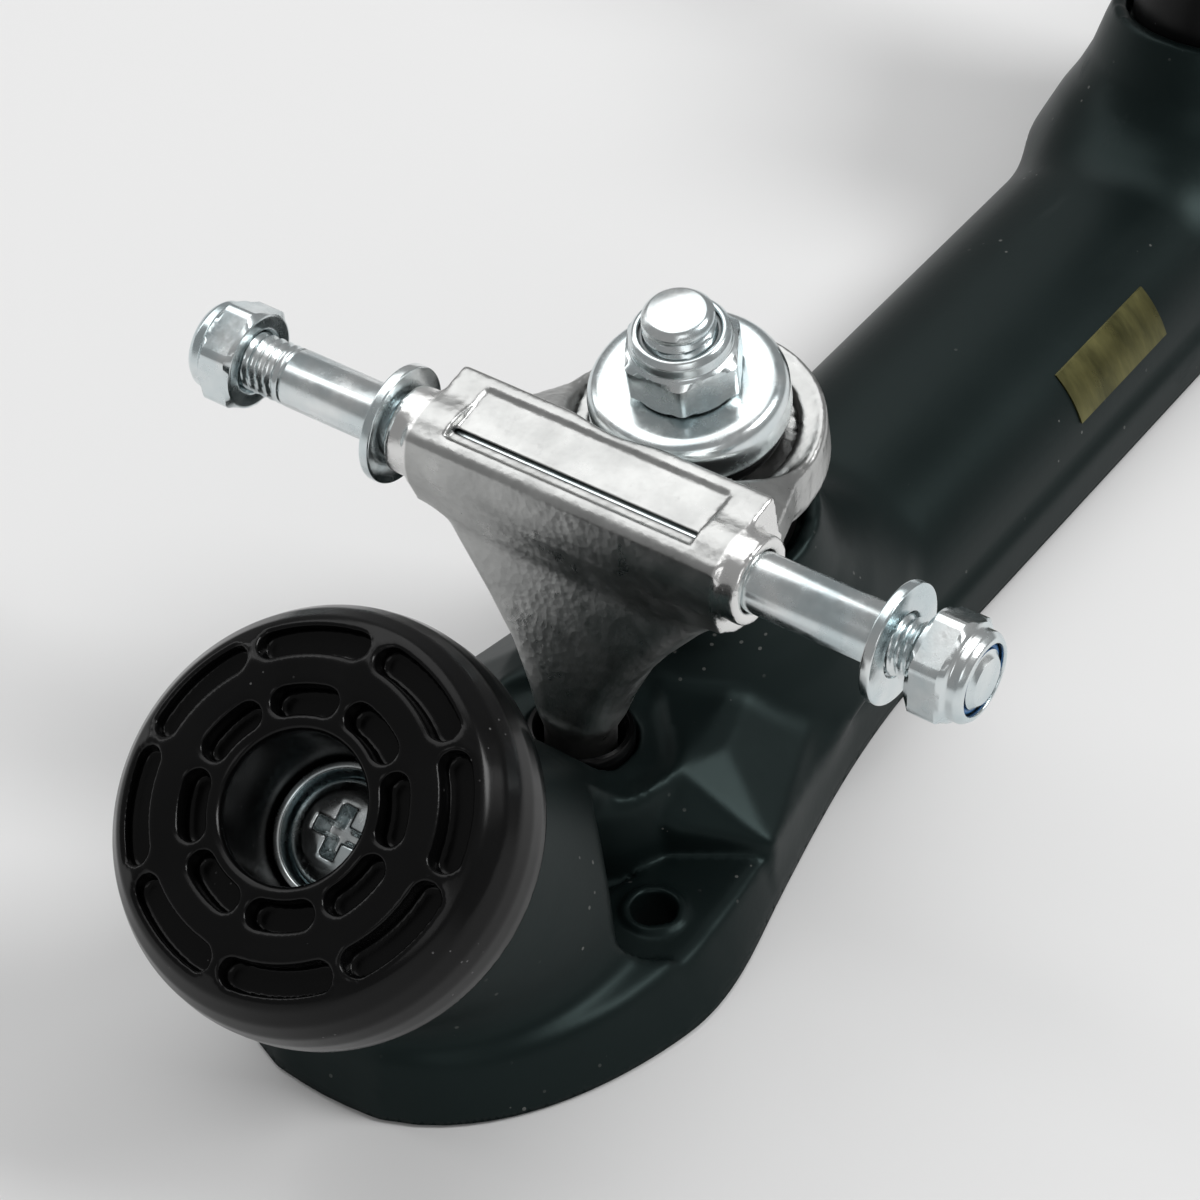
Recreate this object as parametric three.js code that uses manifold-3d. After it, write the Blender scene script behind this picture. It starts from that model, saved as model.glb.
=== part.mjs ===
// Quad roller-skate plate: a nylon sole plate that carries two steering trucks and a bolt-on toe stop.
// Millimetres. +X points to the toe, +Y across along the axles, +Z from the sole face to the trucks.
// The origin is the middle of the sole face, halfway between the two axles.
import * as THREE from 'three';
import { mergeVertices } from 'three/addons/utils/BufferGeometryUtils.js';
import { ConvexGeometry } from 'three/addons/geometries/ConvexGeometry.js';
import Module from 'manifold-3d';

const wasm = await Module();
wasm.setup();

// ---------------------------------------------------------------- driving dimensions
const WHEELBASE = 197;
const AXLE_HEIGHT = 56.5;
const FRONT_AXLE_X = WHEELBASE / 2;
const REAR_AXLE_X = -WHEELBASE / 2;
const GAP = 0.3;                    // clearance left between pieces that touch

// Sole plate outline and body.
const SPINE_HALF_WIDTH = 21.8;
const SPINE_HEIGHT = 22;
const SPINE_SKIRT = 5.5;
const SPINE_POWER = 2.4;
const NOSE = { centre: FRONT_AXLE_X + 1.8, length: 56.3, halfWidth: 34, power: 2.17, start: FRONT_AXLE_X + 17,
  corner: 4 };
const NOSE_TAPER_END = FRONT_AXLE_X - 46;
const HEEL = { centre: REAR_AXLE_X - 6, length: 29.5, halfWidth: 24.4, power: 1.95 };
const HEEL_TAPER_END = REAR_AXLE_X + 40;
const FRONT_SKIRT = 8.5;
const HEEL_SKIRT = 10;
// How far the skirt leans in for each millimetre of height, by position from the front axle.
const SKIRT_DRAFT = [
  [-200, 0.15], [-40, 0.13], [-10, 0.2], [0, 0.3], [12, 0.55], [20, 0.6], [30, 0.45], [45, 0.33], [58, 0.25],
];
const WALL = 3.2;
const RIB = 2.4;
const RIB_PITCH = 33;
const CENTRE_PAD = 14;
const KINGPIN_CORE = 13.5;          // radii of the solid cores that stay in the hollow underside
const PIVOT_CORE = 11;
const STOP_CORE = 11;
const HOLE_CORE = 6.6;
const CORE_LOW = -60;               // below the sole plane on every tilted line
const CORE_TOP = 30;
const FRONT_POCKET_COVER = 1.4;     // least thickness kept under a pocket's floor
const HEEL_POCKET_COVER = 2.4;
const CROWN_PLANES = 6;             // facets on one side of the body's crown
const CAVITY_PLANES = 3;

// Mounting holes for the boot, in the four corner pockets.
const HOLE_RADIUS = 3;
const HOLE_COLLAR_RADIUS = 4.2;
const HOLE_COLLAR_HEIGHT = 0.7;
const FRONT_HOLE = [FRONT_AXLE_X + 14, 20.3];
const REAR_HOLE = [REAR_AXLE_X + 1, 16.5];
const POCKET_FLOOR = 7.4;
const POCKET_CORNER = 5.8;
const HEEL_POCKET_FLOOR = 6;

// Pivot: the hanger's ball tip sits in a rubber cup under the axle.
const PIVOT = { x: 0.8, z: -41.5 };
const PIVOT_PIN_RADIUS = 4.8;
const PIVOT_CUP_INNER = 5.2;
const PIVOT_CUP_MOUTH = 6.2;
const PIVOT_CUP_OUTER = 7.2;
const PIVOT_CUP_TOP = -37.4;
const PIVOT_BOSS_TOP = -38.6;
const PIVOT_BOSS_RADIUS = 14;

// Kingpin line: heights are measured along it from the middle of the hanger's ring.
const KINGPIN_TILT = THREE.MathUtils.degToRad(11);
const RING_CENTRE = { x: -26, z: -7.7 };
const KINGPIN_RADIUS = 4.75;
const RING_OUTER = 17.25;
const RING_INNER = 13.3;
const RING_HALF = 3.6;
const RING_WEB_HALF = 1.3;
const RING_WEB_HOLE = 7.6;
const BOSS_RIM = -13.7;
const BOSS_RIM_RADIUS = 15;
const BOSS_CUP_RADIUS = 12.7;
const BOSS_CUP_FLOOR = -16.7;
const CUSHION_RADIUS = 12;
const CUSHION_BORE = 5.2;
const CUSHION_RELIEF = 1.4;         // the cushions fall away from the ring's web so that it can rock
const CUP_WASHER_TOP = 12.5;
const CUP_WASHER_BOTTOM = 6.2;
const CUP_WASHER_RADIUS = 13.1;
const CUP_WASHER_WALL = 1.6;
const KINGPIN_TIP = 24.8;
const KINGPIN_HEAD_TOP = -41.5;
const KINGPIN_HEAD_BOTTOM = -47.5;
const KINGPIN_HEAD_BORE = 8.6;
const KINGPIN_HEAD_ACROSS = 14;
const KINGPIN_NUT = { across: 14.3, low: 12.8, hexTop: 18.7, top: 21.5 };

// Hanger beam and axle.
const BEAM_HALF = 23.4;
const COLLAR_END = 26.6;
const COLLAR_RADIUS = 5.9;
const AXLE_RADIUS = 4;
const AXLE_TIP = 58.5;
const THREAD_START = 45;
const THREAD_RADIUS = 3.7;
const AXLE_NUT = { across: 13, low: 50.6, hexTop: 55.8, top: 58.2 };
const WASHER_OUTER = 8;
const WASHER_INNER = 4.35;
const WASHER_HALF = 0.75;
const WASHERS = { front_left: 46.1, front_right: -28, rear_left: 49.4, rear_right: -46.1 };

// Toe stop: heights are measured along its bolt from the rubber's front face.
const STOP_TILT = THREE.MathUtils.degToRad(53);
const STOP_FACE = { x: FRONT_AXLE_X + 59.8, z: 52.4 };
const STOP_RADIUS = 26.7;
const STOP_BACK = -16.6;
const STOP_STEM_RADIUS = 12.5;
const STOP_STEM_END = -24;
const STOP_HOLE_RADIUS = 9.3;
const STOP_HOLE_FLOOR = -19.6;
const STOP_BOLT_RADIUS = 3.9;
const STOP_BOLT_END = -46;
const STOP_BOLT_HEAD = { low: -17.7, top: -13.5, radius: 7.2 };
const STOP_CUP = { outer: 9, inner: 7.8, low: -19.3, floor: -18, top: -14.2 };
const STOP_NUT = { across: 13, low: -42.5, top: -36 };
const STOP_SEAT = -17;
const STOP_SLOT_RINGS = [{ radius: 20.4, halfSpan: 0.3 }, { radius: 13, halfSpan: 0.25 }];
const STOP_SLOT_HALF = 1.7;
const STOP_SLOT_DEPTH = 3;

const LABEL = { middle: -12, length: 25, thickness: 0.35 };

const ROUND = 24;                   // sides of a large turned piece
const SMALL_ROUND = 16;
const STOP_ROUND = 32;

// ---------------------------------------------------------------- solids
function solidOf(geometry) {
  const bare = geometry.clone();
  bare.deleteAttribute('normal');
  bare.deleteAttribute('uv');
  const merged = mergeVertices(bare, 1e-4);
  const mesh = new wasm.Mesh({
    numProp: 3,
    vertProperties: new Float32Array(merged.attributes.position.array),
    triVerts: new Uint32Array(merged.index.array),
  });
  return new wasm.Manifold(mesh);
}

function geometryOf(solid) {
  const mesh = solid.getMesh();
  const geometry = new THREE.BufferGeometry();
  geometry.setAttribute('position', new THREE.BufferAttribute(new Float32Array(mesh.vertProperties), 3));
  geometry.setIndex(new THREE.BufferAttribute(new Uint32Array(mesh.triVerts), 1));
  geometry.computeVertexNormals();
  return geometry;
}

// A turned solid about +Z from [radius, height] pairs that close on themselves or on the axis.
function turned(profile, sides = ROUND) {
  const points = profile.map(([radius, height]) => new THREE.Vector2(radius, height));
  const geometry = new THREE.LatheGeometry(points, sides);
  geometry.rotateX(Math.PI / 2);
  return solidOf(geometry);
}

function rod(radius, low, high, sides = SMALL_ROUND) {
  return turned([[0, low], [radius, low], [radius, high], [0, high]], sides);
}

function tube(inner, outer, low, high, sides = SMALL_ROUND) {
  return turned([[inner, low], [outer, low], [outer, high], [inner, high], [inner, low]], sides);
}

// A prism with a plan outline in XY, from height low to height high.
function prism(outline, low, high) {
  const shape = new THREE.Shape(outline.map(([x, y]) => new THREE.Vector2(x, y)));
  const geometry = new THREE.ExtrudeGeometry(shape, { depth: high - low, bevelEnabled: false });
  geometry.translate(0, 0, low);
  return solidOf(geometry);
}

function block(width, depth, height, x, y, z) {
  const geometry = new THREE.BoxGeometry(width, depth, height);
  geometry.translate(x, y, z);
  return solidOf(geometry);
}

function hull(points) {
  return solidOf(new ConvexGeometry(points.map(([x, y, z]) => new THREE.Vector3(x, y, z))));
}

// A skin through rings of the same number of points, closed by a flat cap at each end.
function loft(rings) {
  const count = rings[0].length;
  const positions = rings.flat(2);
  const index = [];
  for (let ring = 0; ring < rings.length - 1; ring += 1) {
    for (let side = 0; side < count; side += 1) {
      const next = (side + 1) % count;
      const a = ring * count + side;
      const b = ring * count + next;
      index.push(a, b, b + count);
      index.push(a, b + count, a + count);
    }
  }
  const last = (rings.length - 1) * count;
  for (let side = 1; side < count - 1; side += 1) {
    index.push(0, side + 1, side);
    index.push(last, last + side, last + side + 1);
  }
  const geometry = new THREE.BufferGeometry();
  geometry.setAttribute('position', new THREE.Float32BufferAttribute(positions, 3));
  geometry.setIndex(index);
  return solidOf(geometry);
}

function moved(solid, matrix) {
  return solid.transform(matrix.elements);
}

function placement(x, z, tilt) {
  const matrix = new THREE.Matrix4().makeRotationY(tilt);
  return matrix.setPosition(x, 0, z);
}

function union(solids) {
  return solids.reduce((whole, solid) => whole.add(solid));
}

function bothSides(make) {
  return make(1).add(make(-1));
}

// ---------------------------------------------------------------- sole plate
function superellipse(offset, length, halfWidth, power) {
  const share = Math.min(Math.abs(offset) / length, 1);
  return halfWidth * (1 - share ** power) ** (1 / power);
}

function eased(from, to, share) {
  return THREE.MathUtils.lerp(from, to, THREE.MathUtils.smoothstep(share, 0, 1));
}

// The smaller of two values, with the change from one to the other eased over the range soft.
function softMin(a, b, soft) {
  const near = Math.max(soft - Math.abs(a - b), 0) / soft;
  return Math.min(a, b) - near * near * soft * 0.25;
}

function halfWidthAt(x) {
  if (x > NOSE_TAPER_END) {
    const share = (x - NOSE_TAPER_END) / (NOSE.start - NOSE_TAPER_END);
    const taper = THREE.MathUtils.lerp(SPINE_HALF_WIDTH, NOSE.halfWidth, share ** 1.5);
    const nose = superellipse(Math.max(x - NOSE.centre, 0), NOSE.length, NOSE.halfWidth, NOSE.power);
    return softMin(taper, nose, NOSE.corner);
  }
  if (x > HEEL_TAPER_END) {
    return SPINE_HALF_WIDTH;
  }
  if (x > HEEL.centre) {
    return eased(HEEL.halfWidth, SPINE_HALF_WIDTH, (x - HEEL.centre) / (HEEL_TAPER_END - HEEL.centre));
  }
  return superellipse(x - HEEL.centre, HEEL.length, HEEL.halfWidth, HEEL.power);
}

function draftAt(x) {
  const from = x - FRONT_AXLE_X;
  const end = Math.max(SKIRT_DRAFT.findIndex(([place]) => place >= from), 1);
  const [[x0, draft0], [x1, draft1]] = [SKIRT_DRAFT[end - 1], SKIRT_DRAFT[end]];
  return THREE.MathUtils.mapLinear(from, x0, x1, draft0, draft1);
}

// Stations along the plate: x, skirt height, crown height and how round the cross-section is.
const STATIONS = [
  [NOSE.centre + NOSE.length - 0.3, 7, 7.4, 2],
  [FRONT_AXLE_X + 57, 8, 9, 2],
  [FRONT_AXLE_X + 54.5, FRONT_SKIRT, 11, 2],
  [FRONT_AXLE_X + 50.5, FRONT_SKIRT, 13, 2],
  [FRONT_AXLE_X + 45, FRONT_SKIRT, 15, 1.9],
  [FRONT_AXLE_X + 37, FRONT_SKIRT, 16.5, 1.6],
  [FRONT_AXLE_X + 28, FRONT_SKIRT, 17, 1.5],
  [FRONT_AXLE_X + 17, FRONT_SKIRT, 17.5, 1.5],
  [FRONT_AXLE_X + 7, FRONT_SKIRT, 17.5, 1.4],
  [FRONT_AXLE_X - 4, FRONT_SKIRT, 17.5, 1.3],
  [FRONT_AXLE_X - 14, FRONT_SKIRT, 18.5, 1.3],
  [FRONT_AXLE_X - 24, 7.5, 20.5, 1.6],
  [FRONT_AXLE_X - 34, 6.5, 21.6, 2.1],
  [FRONT_AXLE_X - 46, SPINE_SKIRT, SPINE_HEIGHT, SPINE_POWER],
  [0, SPINE_SKIRT, SPINE_HEIGHT, SPINE_POWER],
  [REAR_AXLE_X + 46, SPINE_SKIRT, SPINE_HEIGHT, SPINE_POWER],
  [REAR_AXLE_X + 34, 5.5, 21.6, 2.2],
  [REAR_AXLE_X + 22, 5.5, 19.5, 2],
  [REAR_AXLE_X + 12, 6, 18, 1.8],
  [REAR_AXLE_X + 5, 8.5, 17.8, 2],
  [REAR_AXLE_X - 2, HEEL_SKIRT, 17.8, 2.4],
  [REAR_AXLE_X - 14, HEEL_SKIRT, 17.6, 2.6],
  [REAR_AXLE_X - 23, 9.5, 17, 2.6],
  [REAR_AXLE_X - 29, 9, 14.8, 2.4],
  [REAR_AXLE_X - 33, 8.5, 11, 2],
  [HEEL.centre - HEEL.length + 0.4, 7.5, 8, 2],
];

// One closed cross-section of the plate's body, drawn in by an inset on every side but the sole.
function crossSection([x, skirt, crown, power], inset, bottom, planes) {
  const foot = halfWidthAt(x) - inset;
  const skirtTop = skirt - inset * 0.6;
  const shoulder = foot - draftAt(x) * skirtTop;
  const rise = crown - inset - skirtTop;
  const half = [[foot, bottom], [shoulder, skirtTop]];
  for (let step = 1; step < planes; step += 1) {
    const angle = (step / planes) * (Math.PI / 2);
    const across = shoulder * Math.cos(angle) ** (2 / power);
    half.push([across, skirtTop + rise * Math.sin(angle) ** (2 / power)]);
  }
  const mirrored = half.slice().reverse().map(([y, z]) => [-y, z]);
  return [...half, [0, skirtTop + rise], ...mirrored].map(([y, z]) => [x, y, z]);
}

function body(inset, bottom, stations, planes) {
  return loft(stations.slice().reverse().map((station) => crossSection(station, inset, bottom, planes)));
}

function kingpinLine(axleX, heading) {
  const turn = new THREE.Matrix4().makeRotationZ(heading);
  turn.setPosition(axleX, 0, AXLE_HEIGHT);
  return turn.multiply(placement(RING_CENTRE.x, RING_CENTRE.z, KINGPIN_TILT));
}

function toeStopLine() {
  return placement(STOP_FACE.x, STOP_FACE.z, Math.PI / 2 - STOP_TILT);
}

function kingpinBoss(line) {
  const profile = [
    [0, -37], [24, -37], [21.5, -30.5], [19.3, -27.3], [17.4, -22.5], [16, -17], [BOSS_RIM_RADIUS, BOSS_RIM],
    [BOSS_CUP_RADIUS, BOSS_RIM], [BOSS_CUP_RADIUS, BOSS_CUP_FLOOR], [0, BOSS_CUP_FLOOR],
  ];
  return moved(turned(profile), line);
}

function pivotBoss(axleX, heading) {
  const top = AXLE_HEIGHT + PIVOT_BOSS_TOP;
  const profile = [
    [0, 1], [16.6, 1], [15.9, top - 8], [PIVOT_BOSS_RADIUS + 0.8, top - 1.4], [PIVOT_BOSS_RADIUS, top],
    [11, top - 0.7], [PIVOT_CUP_OUTER + 1, top - 0.7], [0, top - 0.7],
  ];
  return turned(profile).translate([axleX + PIVOT.x * Math.cos(heading), 0, 0]);
}

// The cone behind the toe stop, trimmed to the plate's own outline.
function toeStopBoss() {
  const profile = [
    [0, -72], [24, -66], [21.6, -48], [20, -36], [18.8, -25], [18.2, STOP_SEAT - 1.2], [17, STOP_SEAT],
    [0, STOP_SEAT],
  ];
  const inside = [];
  for (let x = FRONT_AXLE_X; x < FRONT_AXLE_X + 57; x += 8) {
    inside.push([x, halfWidthAt(x) - FRONT_SKIRT * draftAt(x)]);
  }
  const trim = [...inside, ...inside.slice().reverse().map(([x, y]) => [x, -y])];
  return moved(turned(profile), toeStopLine()).intersect(prism(trim, 0, AXLE_HEIGHT));
}

function holeCollar([x, y], floor) {
  const wall = turned([[0, 0], [7, 0], [6, floor], [HOLE_COLLAR_RADIUS, floor],
    [HOLE_COLLAR_RADIUS, floor + HOLE_COLLAR_HEIGHT], [0, floor + HOLE_COLLAR_HEIGHT]], SMALL_ROUND);
  return wall.translate([x, y, 0]);
}

// The raised wing behind each front pocket: its ridge runs from the pivot back and out to the side edge.
function frontWing(side) {
  const top = [
    [-0.5, 14.3, 18], [-8, 17, 17], [-21, 21.6, 12], [-29, 22, 8.6], [-34, 10, 19.5], [-12, 4, 19],
  ];
  const back = [[-3, 27.4, 8.8], [5, 16, 12]];
  const foot = [[-3, 10, 2], [-3, 27.4, 2], [5, 16, 2], [-29, 22, 2], [-34, 10, 2]];
  return hull([...top, ...back, ...foot].map(([u, v, z]) => [FRONT_AXLE_X + u, v * side, z]));
}

// The pocket is open at the skirt's edge; a deeper corner lies between its floor and the pivot's mound.
function frontPocket(side) {
  const floor = [
    [12.8, 10.1], [16.4, 12.9], [21.2, 17.8], [24.6, 21.8], [19, 28], [18, 40], [-3, 40], [-3.4, 28], [4.9, 15.6],
  ];
  const corner = [[13.2, 9.6], [14.6, 12.6], [5, 16], [3, 14], [8.4, 11.2]];
  const placed = (outline) => outline.map(([u, v]) => [FRONT_AXLE_X + u, v * side]);
  const pocket = prism(placed(floor), POCKET_FLOOR, AXLE_HEIGHT);
  return pocket.add(prism(placed(corner), POCKET_CORNER, AXLE_HEIGHT));
}

function rearPocket(side) {
  const outline = [[-7, 13], [-5, 21.5], [3, 21.8], [14, 20], [26, 19.4], [20, 16.5], [12, 13.5], [4, 11.5]];
  return prism(outline.map(([u, v]) => [REAR_AXLE_X + u, v * side]), HEEL_POCKET_FLOOR, AXLE_HEIGHT);
}

function core(line, radius, low, high) {
  return moved(rod(radius, low, high), line);
}

function underside(frontLine, rearLine, stopLine) {
  const inner = STATIONS.slice(2, -2);
  let cavity = body(WALL, -1, inner, CAVITY_PLANES);
  cavity = cavity.subtract(block(2 * WHEELBASE, RIB, AXLE_HEIGHT, 0, 0, AXLE_HEIGHT / 2 - 2));
  for (let count = -3; count <= 4; count += 1) {
    const x = count * RIB_PITCH;
    const thick = count === 0 ? CENTRE_PAD : RIB;
    cavity = cavity.subtract(block(thick, 90, AXLE_HEIGHT, x, 0, AXLE_HEIGHT / 2 - 2));
  }
  const cores = [
    core(frontLine, KINGPIN_CORE, CORE_LOW, -10), core(rearLine, KINGPIN_CORE, CORE_LOW, -10),
    core(stopLine, STOP_CORE, CORE_LOW, -18),
    rod(PIVOT_CORE, -2, CORE_TOP).translate([FRONT_AXLE_X + PIVOT.x, 0, 0]),
    rod(PIVOT_CORE, -2, CORE_TOP).translate([REAR_AXLE_X - PIVOT.x, 0, 0]),
  ];
  for (const side of [1, -1]) {
    cores.push(rod(HOLE_CORE, -2, CORE_TOP).translate([FRONT_HOLE[0], FRONT_HOLE[1] * side, 0]));
    cores.push(rod(HOLE_CORE, -2, CORE_TOP).translate([REAR_HOLE[0], REAR_HOLE[1] * side, 0]));
  }
  // A floor is kept under each open pocket, so the hollow is lower there.
  const frontFloor = [[-8, 5], [28, 5], [28, 40], [-8, 40]];
  const rearFloor = [[-9, 9], [28, 9], [28, 30], [-9, 30]];
  const covered = (outline, axleX, low) => bothSides((side) => prism(
    outline.map(([u, v]) => [axleX + u, v * side]), low, 40,
  ));
  const pocketFloors = covered(frontFloor, FRONT_AXLE_X, POCKET_CORNER - FRONT_POCKET_COVER)
    .add(covered(rearFloor, REAR_AXLE_X, HEEL_POCKET_FLOOR - HEEL_POCKET_COVER));
  return cavity.subtract(union(cores)).subtract(pocketFloors);
}

function hexPrism(acrossFlats, low, high) {
  const corner = acrossFlats / Math.sqrt(3);
  return rod(corner, low, high, 6);
}

function solePlate() {
  const frontLine = kingpinLine(FRONT_AXLE_X, 0);
  const rearLine = kingpinLine(REAR_AXLE_X, Math.PI);
  const stopLine = toeStopLine();
  let plate = union([
    body(0, 0, STATIONS, CROWN_PLANES), kingpinBoss(frontLine), kingpinBoss(rearLine),
    toeStopBoss(), bothSides(frontWing),
  ]);
  plate = plate.subtract(bothSides(frontPocket)).subtract(bothSides(rearPocket));
  plate = union([plate, pivotBoss(FRONT_AXLE_X, 0), pivotBoss(REAR_AXLE_X, Math.PI)]);
  plate = plate.subtract(underside(frontLine, rearLine, stopLine));
  const cuts = [
    block(400, 200, 40, 0, 0, -20),
    core(stopLine, STOP_STEM_RADIUS + GAP, STOP_STEM_END - GAP, 0),
    core(stopLine, STOP_BOLT_RADIUS + GAP, -75, 0),
    moved(hexPrism(STOP_NUT.across + 2 * GAP, -75, STOP_NUT.top + GAP), stopLine),
  ];
  for (const line of [frontLine, rearLine]) {
    cuts.push(core(line, BOSS_CUP_RADIUS, BOSS_CUP_FLOOR, 0));
    cuts.push(core(line, KINGPIN_RADIUS + GAP, CORE_LOW, 0));
    cuts.push(core(line, KINGPIN_HEAD_BORE, CORE_LOW, KINGPIN_HEAD_TOP + GAP));
  }
  for (const [axleX, way] of [[FRONT_AXLE_X, 1], [REAR_AXLE_X, -1]]) {
    cuts.push(cupBore().translate([axleX + PIVOT.x * way, 0, AXLE_HEIGHT]));
  }
  for (const [hole, floor] of [[FRONT_HOLE, POCKET_FLOOR], [REAR_HOLE, HEEL_POCKET_FLOOR]]) {
    for (const side of [1, -1]) {
      const place = [hole[0], hole[1] * side];
      plate = plate.add(holeCollar(place, floor));
      cuts.push(rod(HOLE_RADIUS, -1, 20).translate([...place, 0]));
    }
  }
  return plate.subtract(union(cuts));
}

// ---------------------------------------------------------------- pivot cup
function ballProfile(radius, centre, top, steps) {
  const points = [];
  for (let step = 0; step <= steps; step += 1) {
    const angle = -Math.PI / 2 + (step / steps) * (Math.PI / 2);
    points.push([Math.max(radius * Math.cos(angle), 0), centre + radius * Math.sin(angle)]);
  }
  points[0][0] = 0;
  points.push([radius, top]);
  return points;
}

function cupBore() {
  const profile = ballProfile(PIVOT_CUP_OUTER + GAP, PIVOT.z, 0, 3);
  return turned([...profile, [0, 0]], SMALL_ROUND);
}

function pivotCup() {
  const outside = ballProfile(PIVOT_CUP_OUTER, PIVOT.z, PIVOT_CUP_TOP, 3);
  const inside = ballProfile(PIVOT_CUP_INNER, PIVOT.z, PIVOT_CUP_TOP, 3);
  inside[inside.length - 1][0] = PIVOT_CUP_MOUTH;
  return turned([...outside, ...inside.reverse()], SMALL_ROUND).translate([PIVOT.x, 0, 0]);
}

// ---------------------------------------------------------------- hanger
// The beam's section in XZ about the axle: a flat tilted top and a round belly.
const BEAM_SECTION = [
  [5.6, 3.4], [4.9, 4.2], [-7.4, 6.6], [-8.2, 6.2], [-9.8, -1.2], [-9.6, -5.8], [-7.2, -9.2], [-3.6, -10.6],
  [0.2, -9.9], [3.6, -7.6], [5.4, -3.6],
];
// The arm down to the pivot: height, back edge, front edge and half width.
const ARM_SECTIONS = [
  [-36.2, -3.8, 5.2, 4.9],
  [-34, -4.5, 5.3, 5.8],
  [-30, -5.2, 5.2, 7],
  [-24, -6.4, 4.8, 9.6],
  [-18, -8, 4.4, 13.6],
  [-11, -9.4, 3.6, 19.4],
  [-7, -9.6, 3.4, 21],
];
const ARM_CORNER = 0.35;            // how far each arm corner is cut back, as a share of the half width
const PIN_TOP = -34;

function alongY(outline, half) {
  const shape = new THREE.Shape(outline.map(([x, z]) => new THREE.Vector2(x, z)));
  const geometry = new THREE.ExtrudeGeometry(shape, { depth: 2 * half, bevelEnabled: false });
  geometry.rotateX(Math.PI / 2);
  geometry.translate(0, half, 0);
  return solidOf(geometry);
}

function axleRod(radius, low, high) {
  return moved(rod(radius, low, high), new THREE.Matrix4().makeRotationX(-Math.PI / 2));
}

function armSection([z, back, front, half]) {
  const cut = half * ARM_CORNER;
  const middle = (back + front) / 2;
  const quarter = (front - back) / 4;
  return [
    [front, half - cut, z], [middle + quarter, half - cut * 0.3, z], [middle, half, z],
    [middle - quarter, half - cut * 0.3, z], [back, half - cut, z], [back, cut - half, z],
    [middle - quarter, cut * 0.3 - half, z], [middle, -half, z], [middle + quarter, cut * 0.3 - half, z],
    [front, cut - half, z],
  ];
}

function hangerRing() {
  const profile = [
    [RING_WEB_HOLE, -RING_WEB_HALF], [RING_INNER, -RING_WEB_HALF], [RING_INNER + 0.5, -RING_HALF],
    [RING_OUTER - 0.8, -RING_HALF], [RING_OUTER, -RING_HALF + 0.8], [RING_OUTER, RING_HALF - 0.8],
    [RING_OUTER - 0.8, RING_HALF], [RING_INNER + 0.5, RING_HALF], [RING_INNER, RING_WEB_HALF],
    [RING_WEB_HOLE, RING_WEB_HALF], [RING_WEB_HOLE, -RING_WEB_HALF],
  ];
  return turned(profile);
}

function hanger() {
  const line = placement(RING_CENTRE.x, RING_CENTRE.z, KINGPIN_TILT);
  const neck = hull(bothEnds([[-25, 16.8, -9.6], [-25, 16.8, -4.2], [-8.8, 22.6, -6.4], [-8.8, 22.6, -1.4],
    [-8.4, 12, -13], [-8.4, 12, 2], [-21, 12, -11.6]]));
  const ringCuts = moved(rod(RING_INNER, -20, 20, ROUND), line);
  const belly = [moved(rod(RING_OUTER - 1, -20, -RING_HALF, ROUND), line),
    moved(rod(CUP_WASHER_RADIUS + 2.4, RING_HALF, 20, ROUND), line)];
  const arm = loft(ARM_SECTIONS.map(armSection));
  const pin = turned([...ballProfile(PIVOT_PIN_RADIUS, PIVOT.z, PIN_TOP, 3), [0, PIN_TOP]], SMALL_ROUND);
  let solid = union([alongY(BEAM_SECTION, BEAM_HALF), axleRod(COLLAR_RADIUS, -COLLAR_END, COLLAR_END), arm,
    neck.subtract(ringCuts), pin.translate([PIVOT.x, 0, 0])]);
  solid = solid.subtract(union([ringCuts, ...belly])).add(moved(hangerRing(), line));
  return solid.subtract(axleRod(AXLE_RADIUS + GAP, -AXLE_TIP, AXLE_TIP));
}

function bothEnds(points) {
  return [...points, ...points.map(([x, y, z]) => [x, -y, z])];
}

// ---------------------------------------------------------------- truck hardware
function axle() {
  const half = [
    [THREAD_RADIUS - 0.7, AXLE_TIP], [THREAD_RADIUS, AXLE_TIP - 0.7], [THREAD_RADIUS, THREAD_START],
    [AXLE_RADIUS, THREAD_START],
  ];
  const other = half.map(([radius, height]) => [radius, -height]);
  const profile = [[0, -AXLE_TIP], ...other, ...half.reverse(), [0, AXLE_TIP]];
  return moved(turned(profile, SMALL_ROUND), new THREE.Matrix4().makeRotationX(-Math.PI / 2));
}

// A lock nut standing on its hexagon, with a round collar on top that holds a nylon ring.
function lockNut({ across, low, hexTop, top }, bore) {
  const flat = across / 2;
  const hexagon = hexPrism(across, low, hexTop);
  const collar = rod(flat - 0.5, hexTop - 1, top);
  const seat = rod(flat - 1.1, hexTop + 0.3, top + 1);
  return hexagon.add(collar).subtract(seat).subtract(rod(bore + GAP, low - 1, top + 1));
}

function lockRing({ across, hexTop, top }, bore) {
  return tube(bore + GAP, across / 2 - 1.4, hexTop + 0.6, top - 0.3);
}

function kingpin() {
  const shaft = turned([[0, KINGPIN_HEAD_TOP - 1], [KINGPIN_RADIUS, KINGPIN_HEAD_TOP - 1],
    [KINGPIN_RADIUS, KINGPIN_TIP - 1], [KINGPIN_RADIUS - 0.8, KINGPIN_TIP], [0, KINGPIN_TIP]], SMALL_ROUND);
  return shaft.add(hexPrism(KINGPIN_HEAD_ACROSS, KINGPIN_HEAD_BOTTOM, KINGPIN_HEAD_TOP));
}

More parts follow.
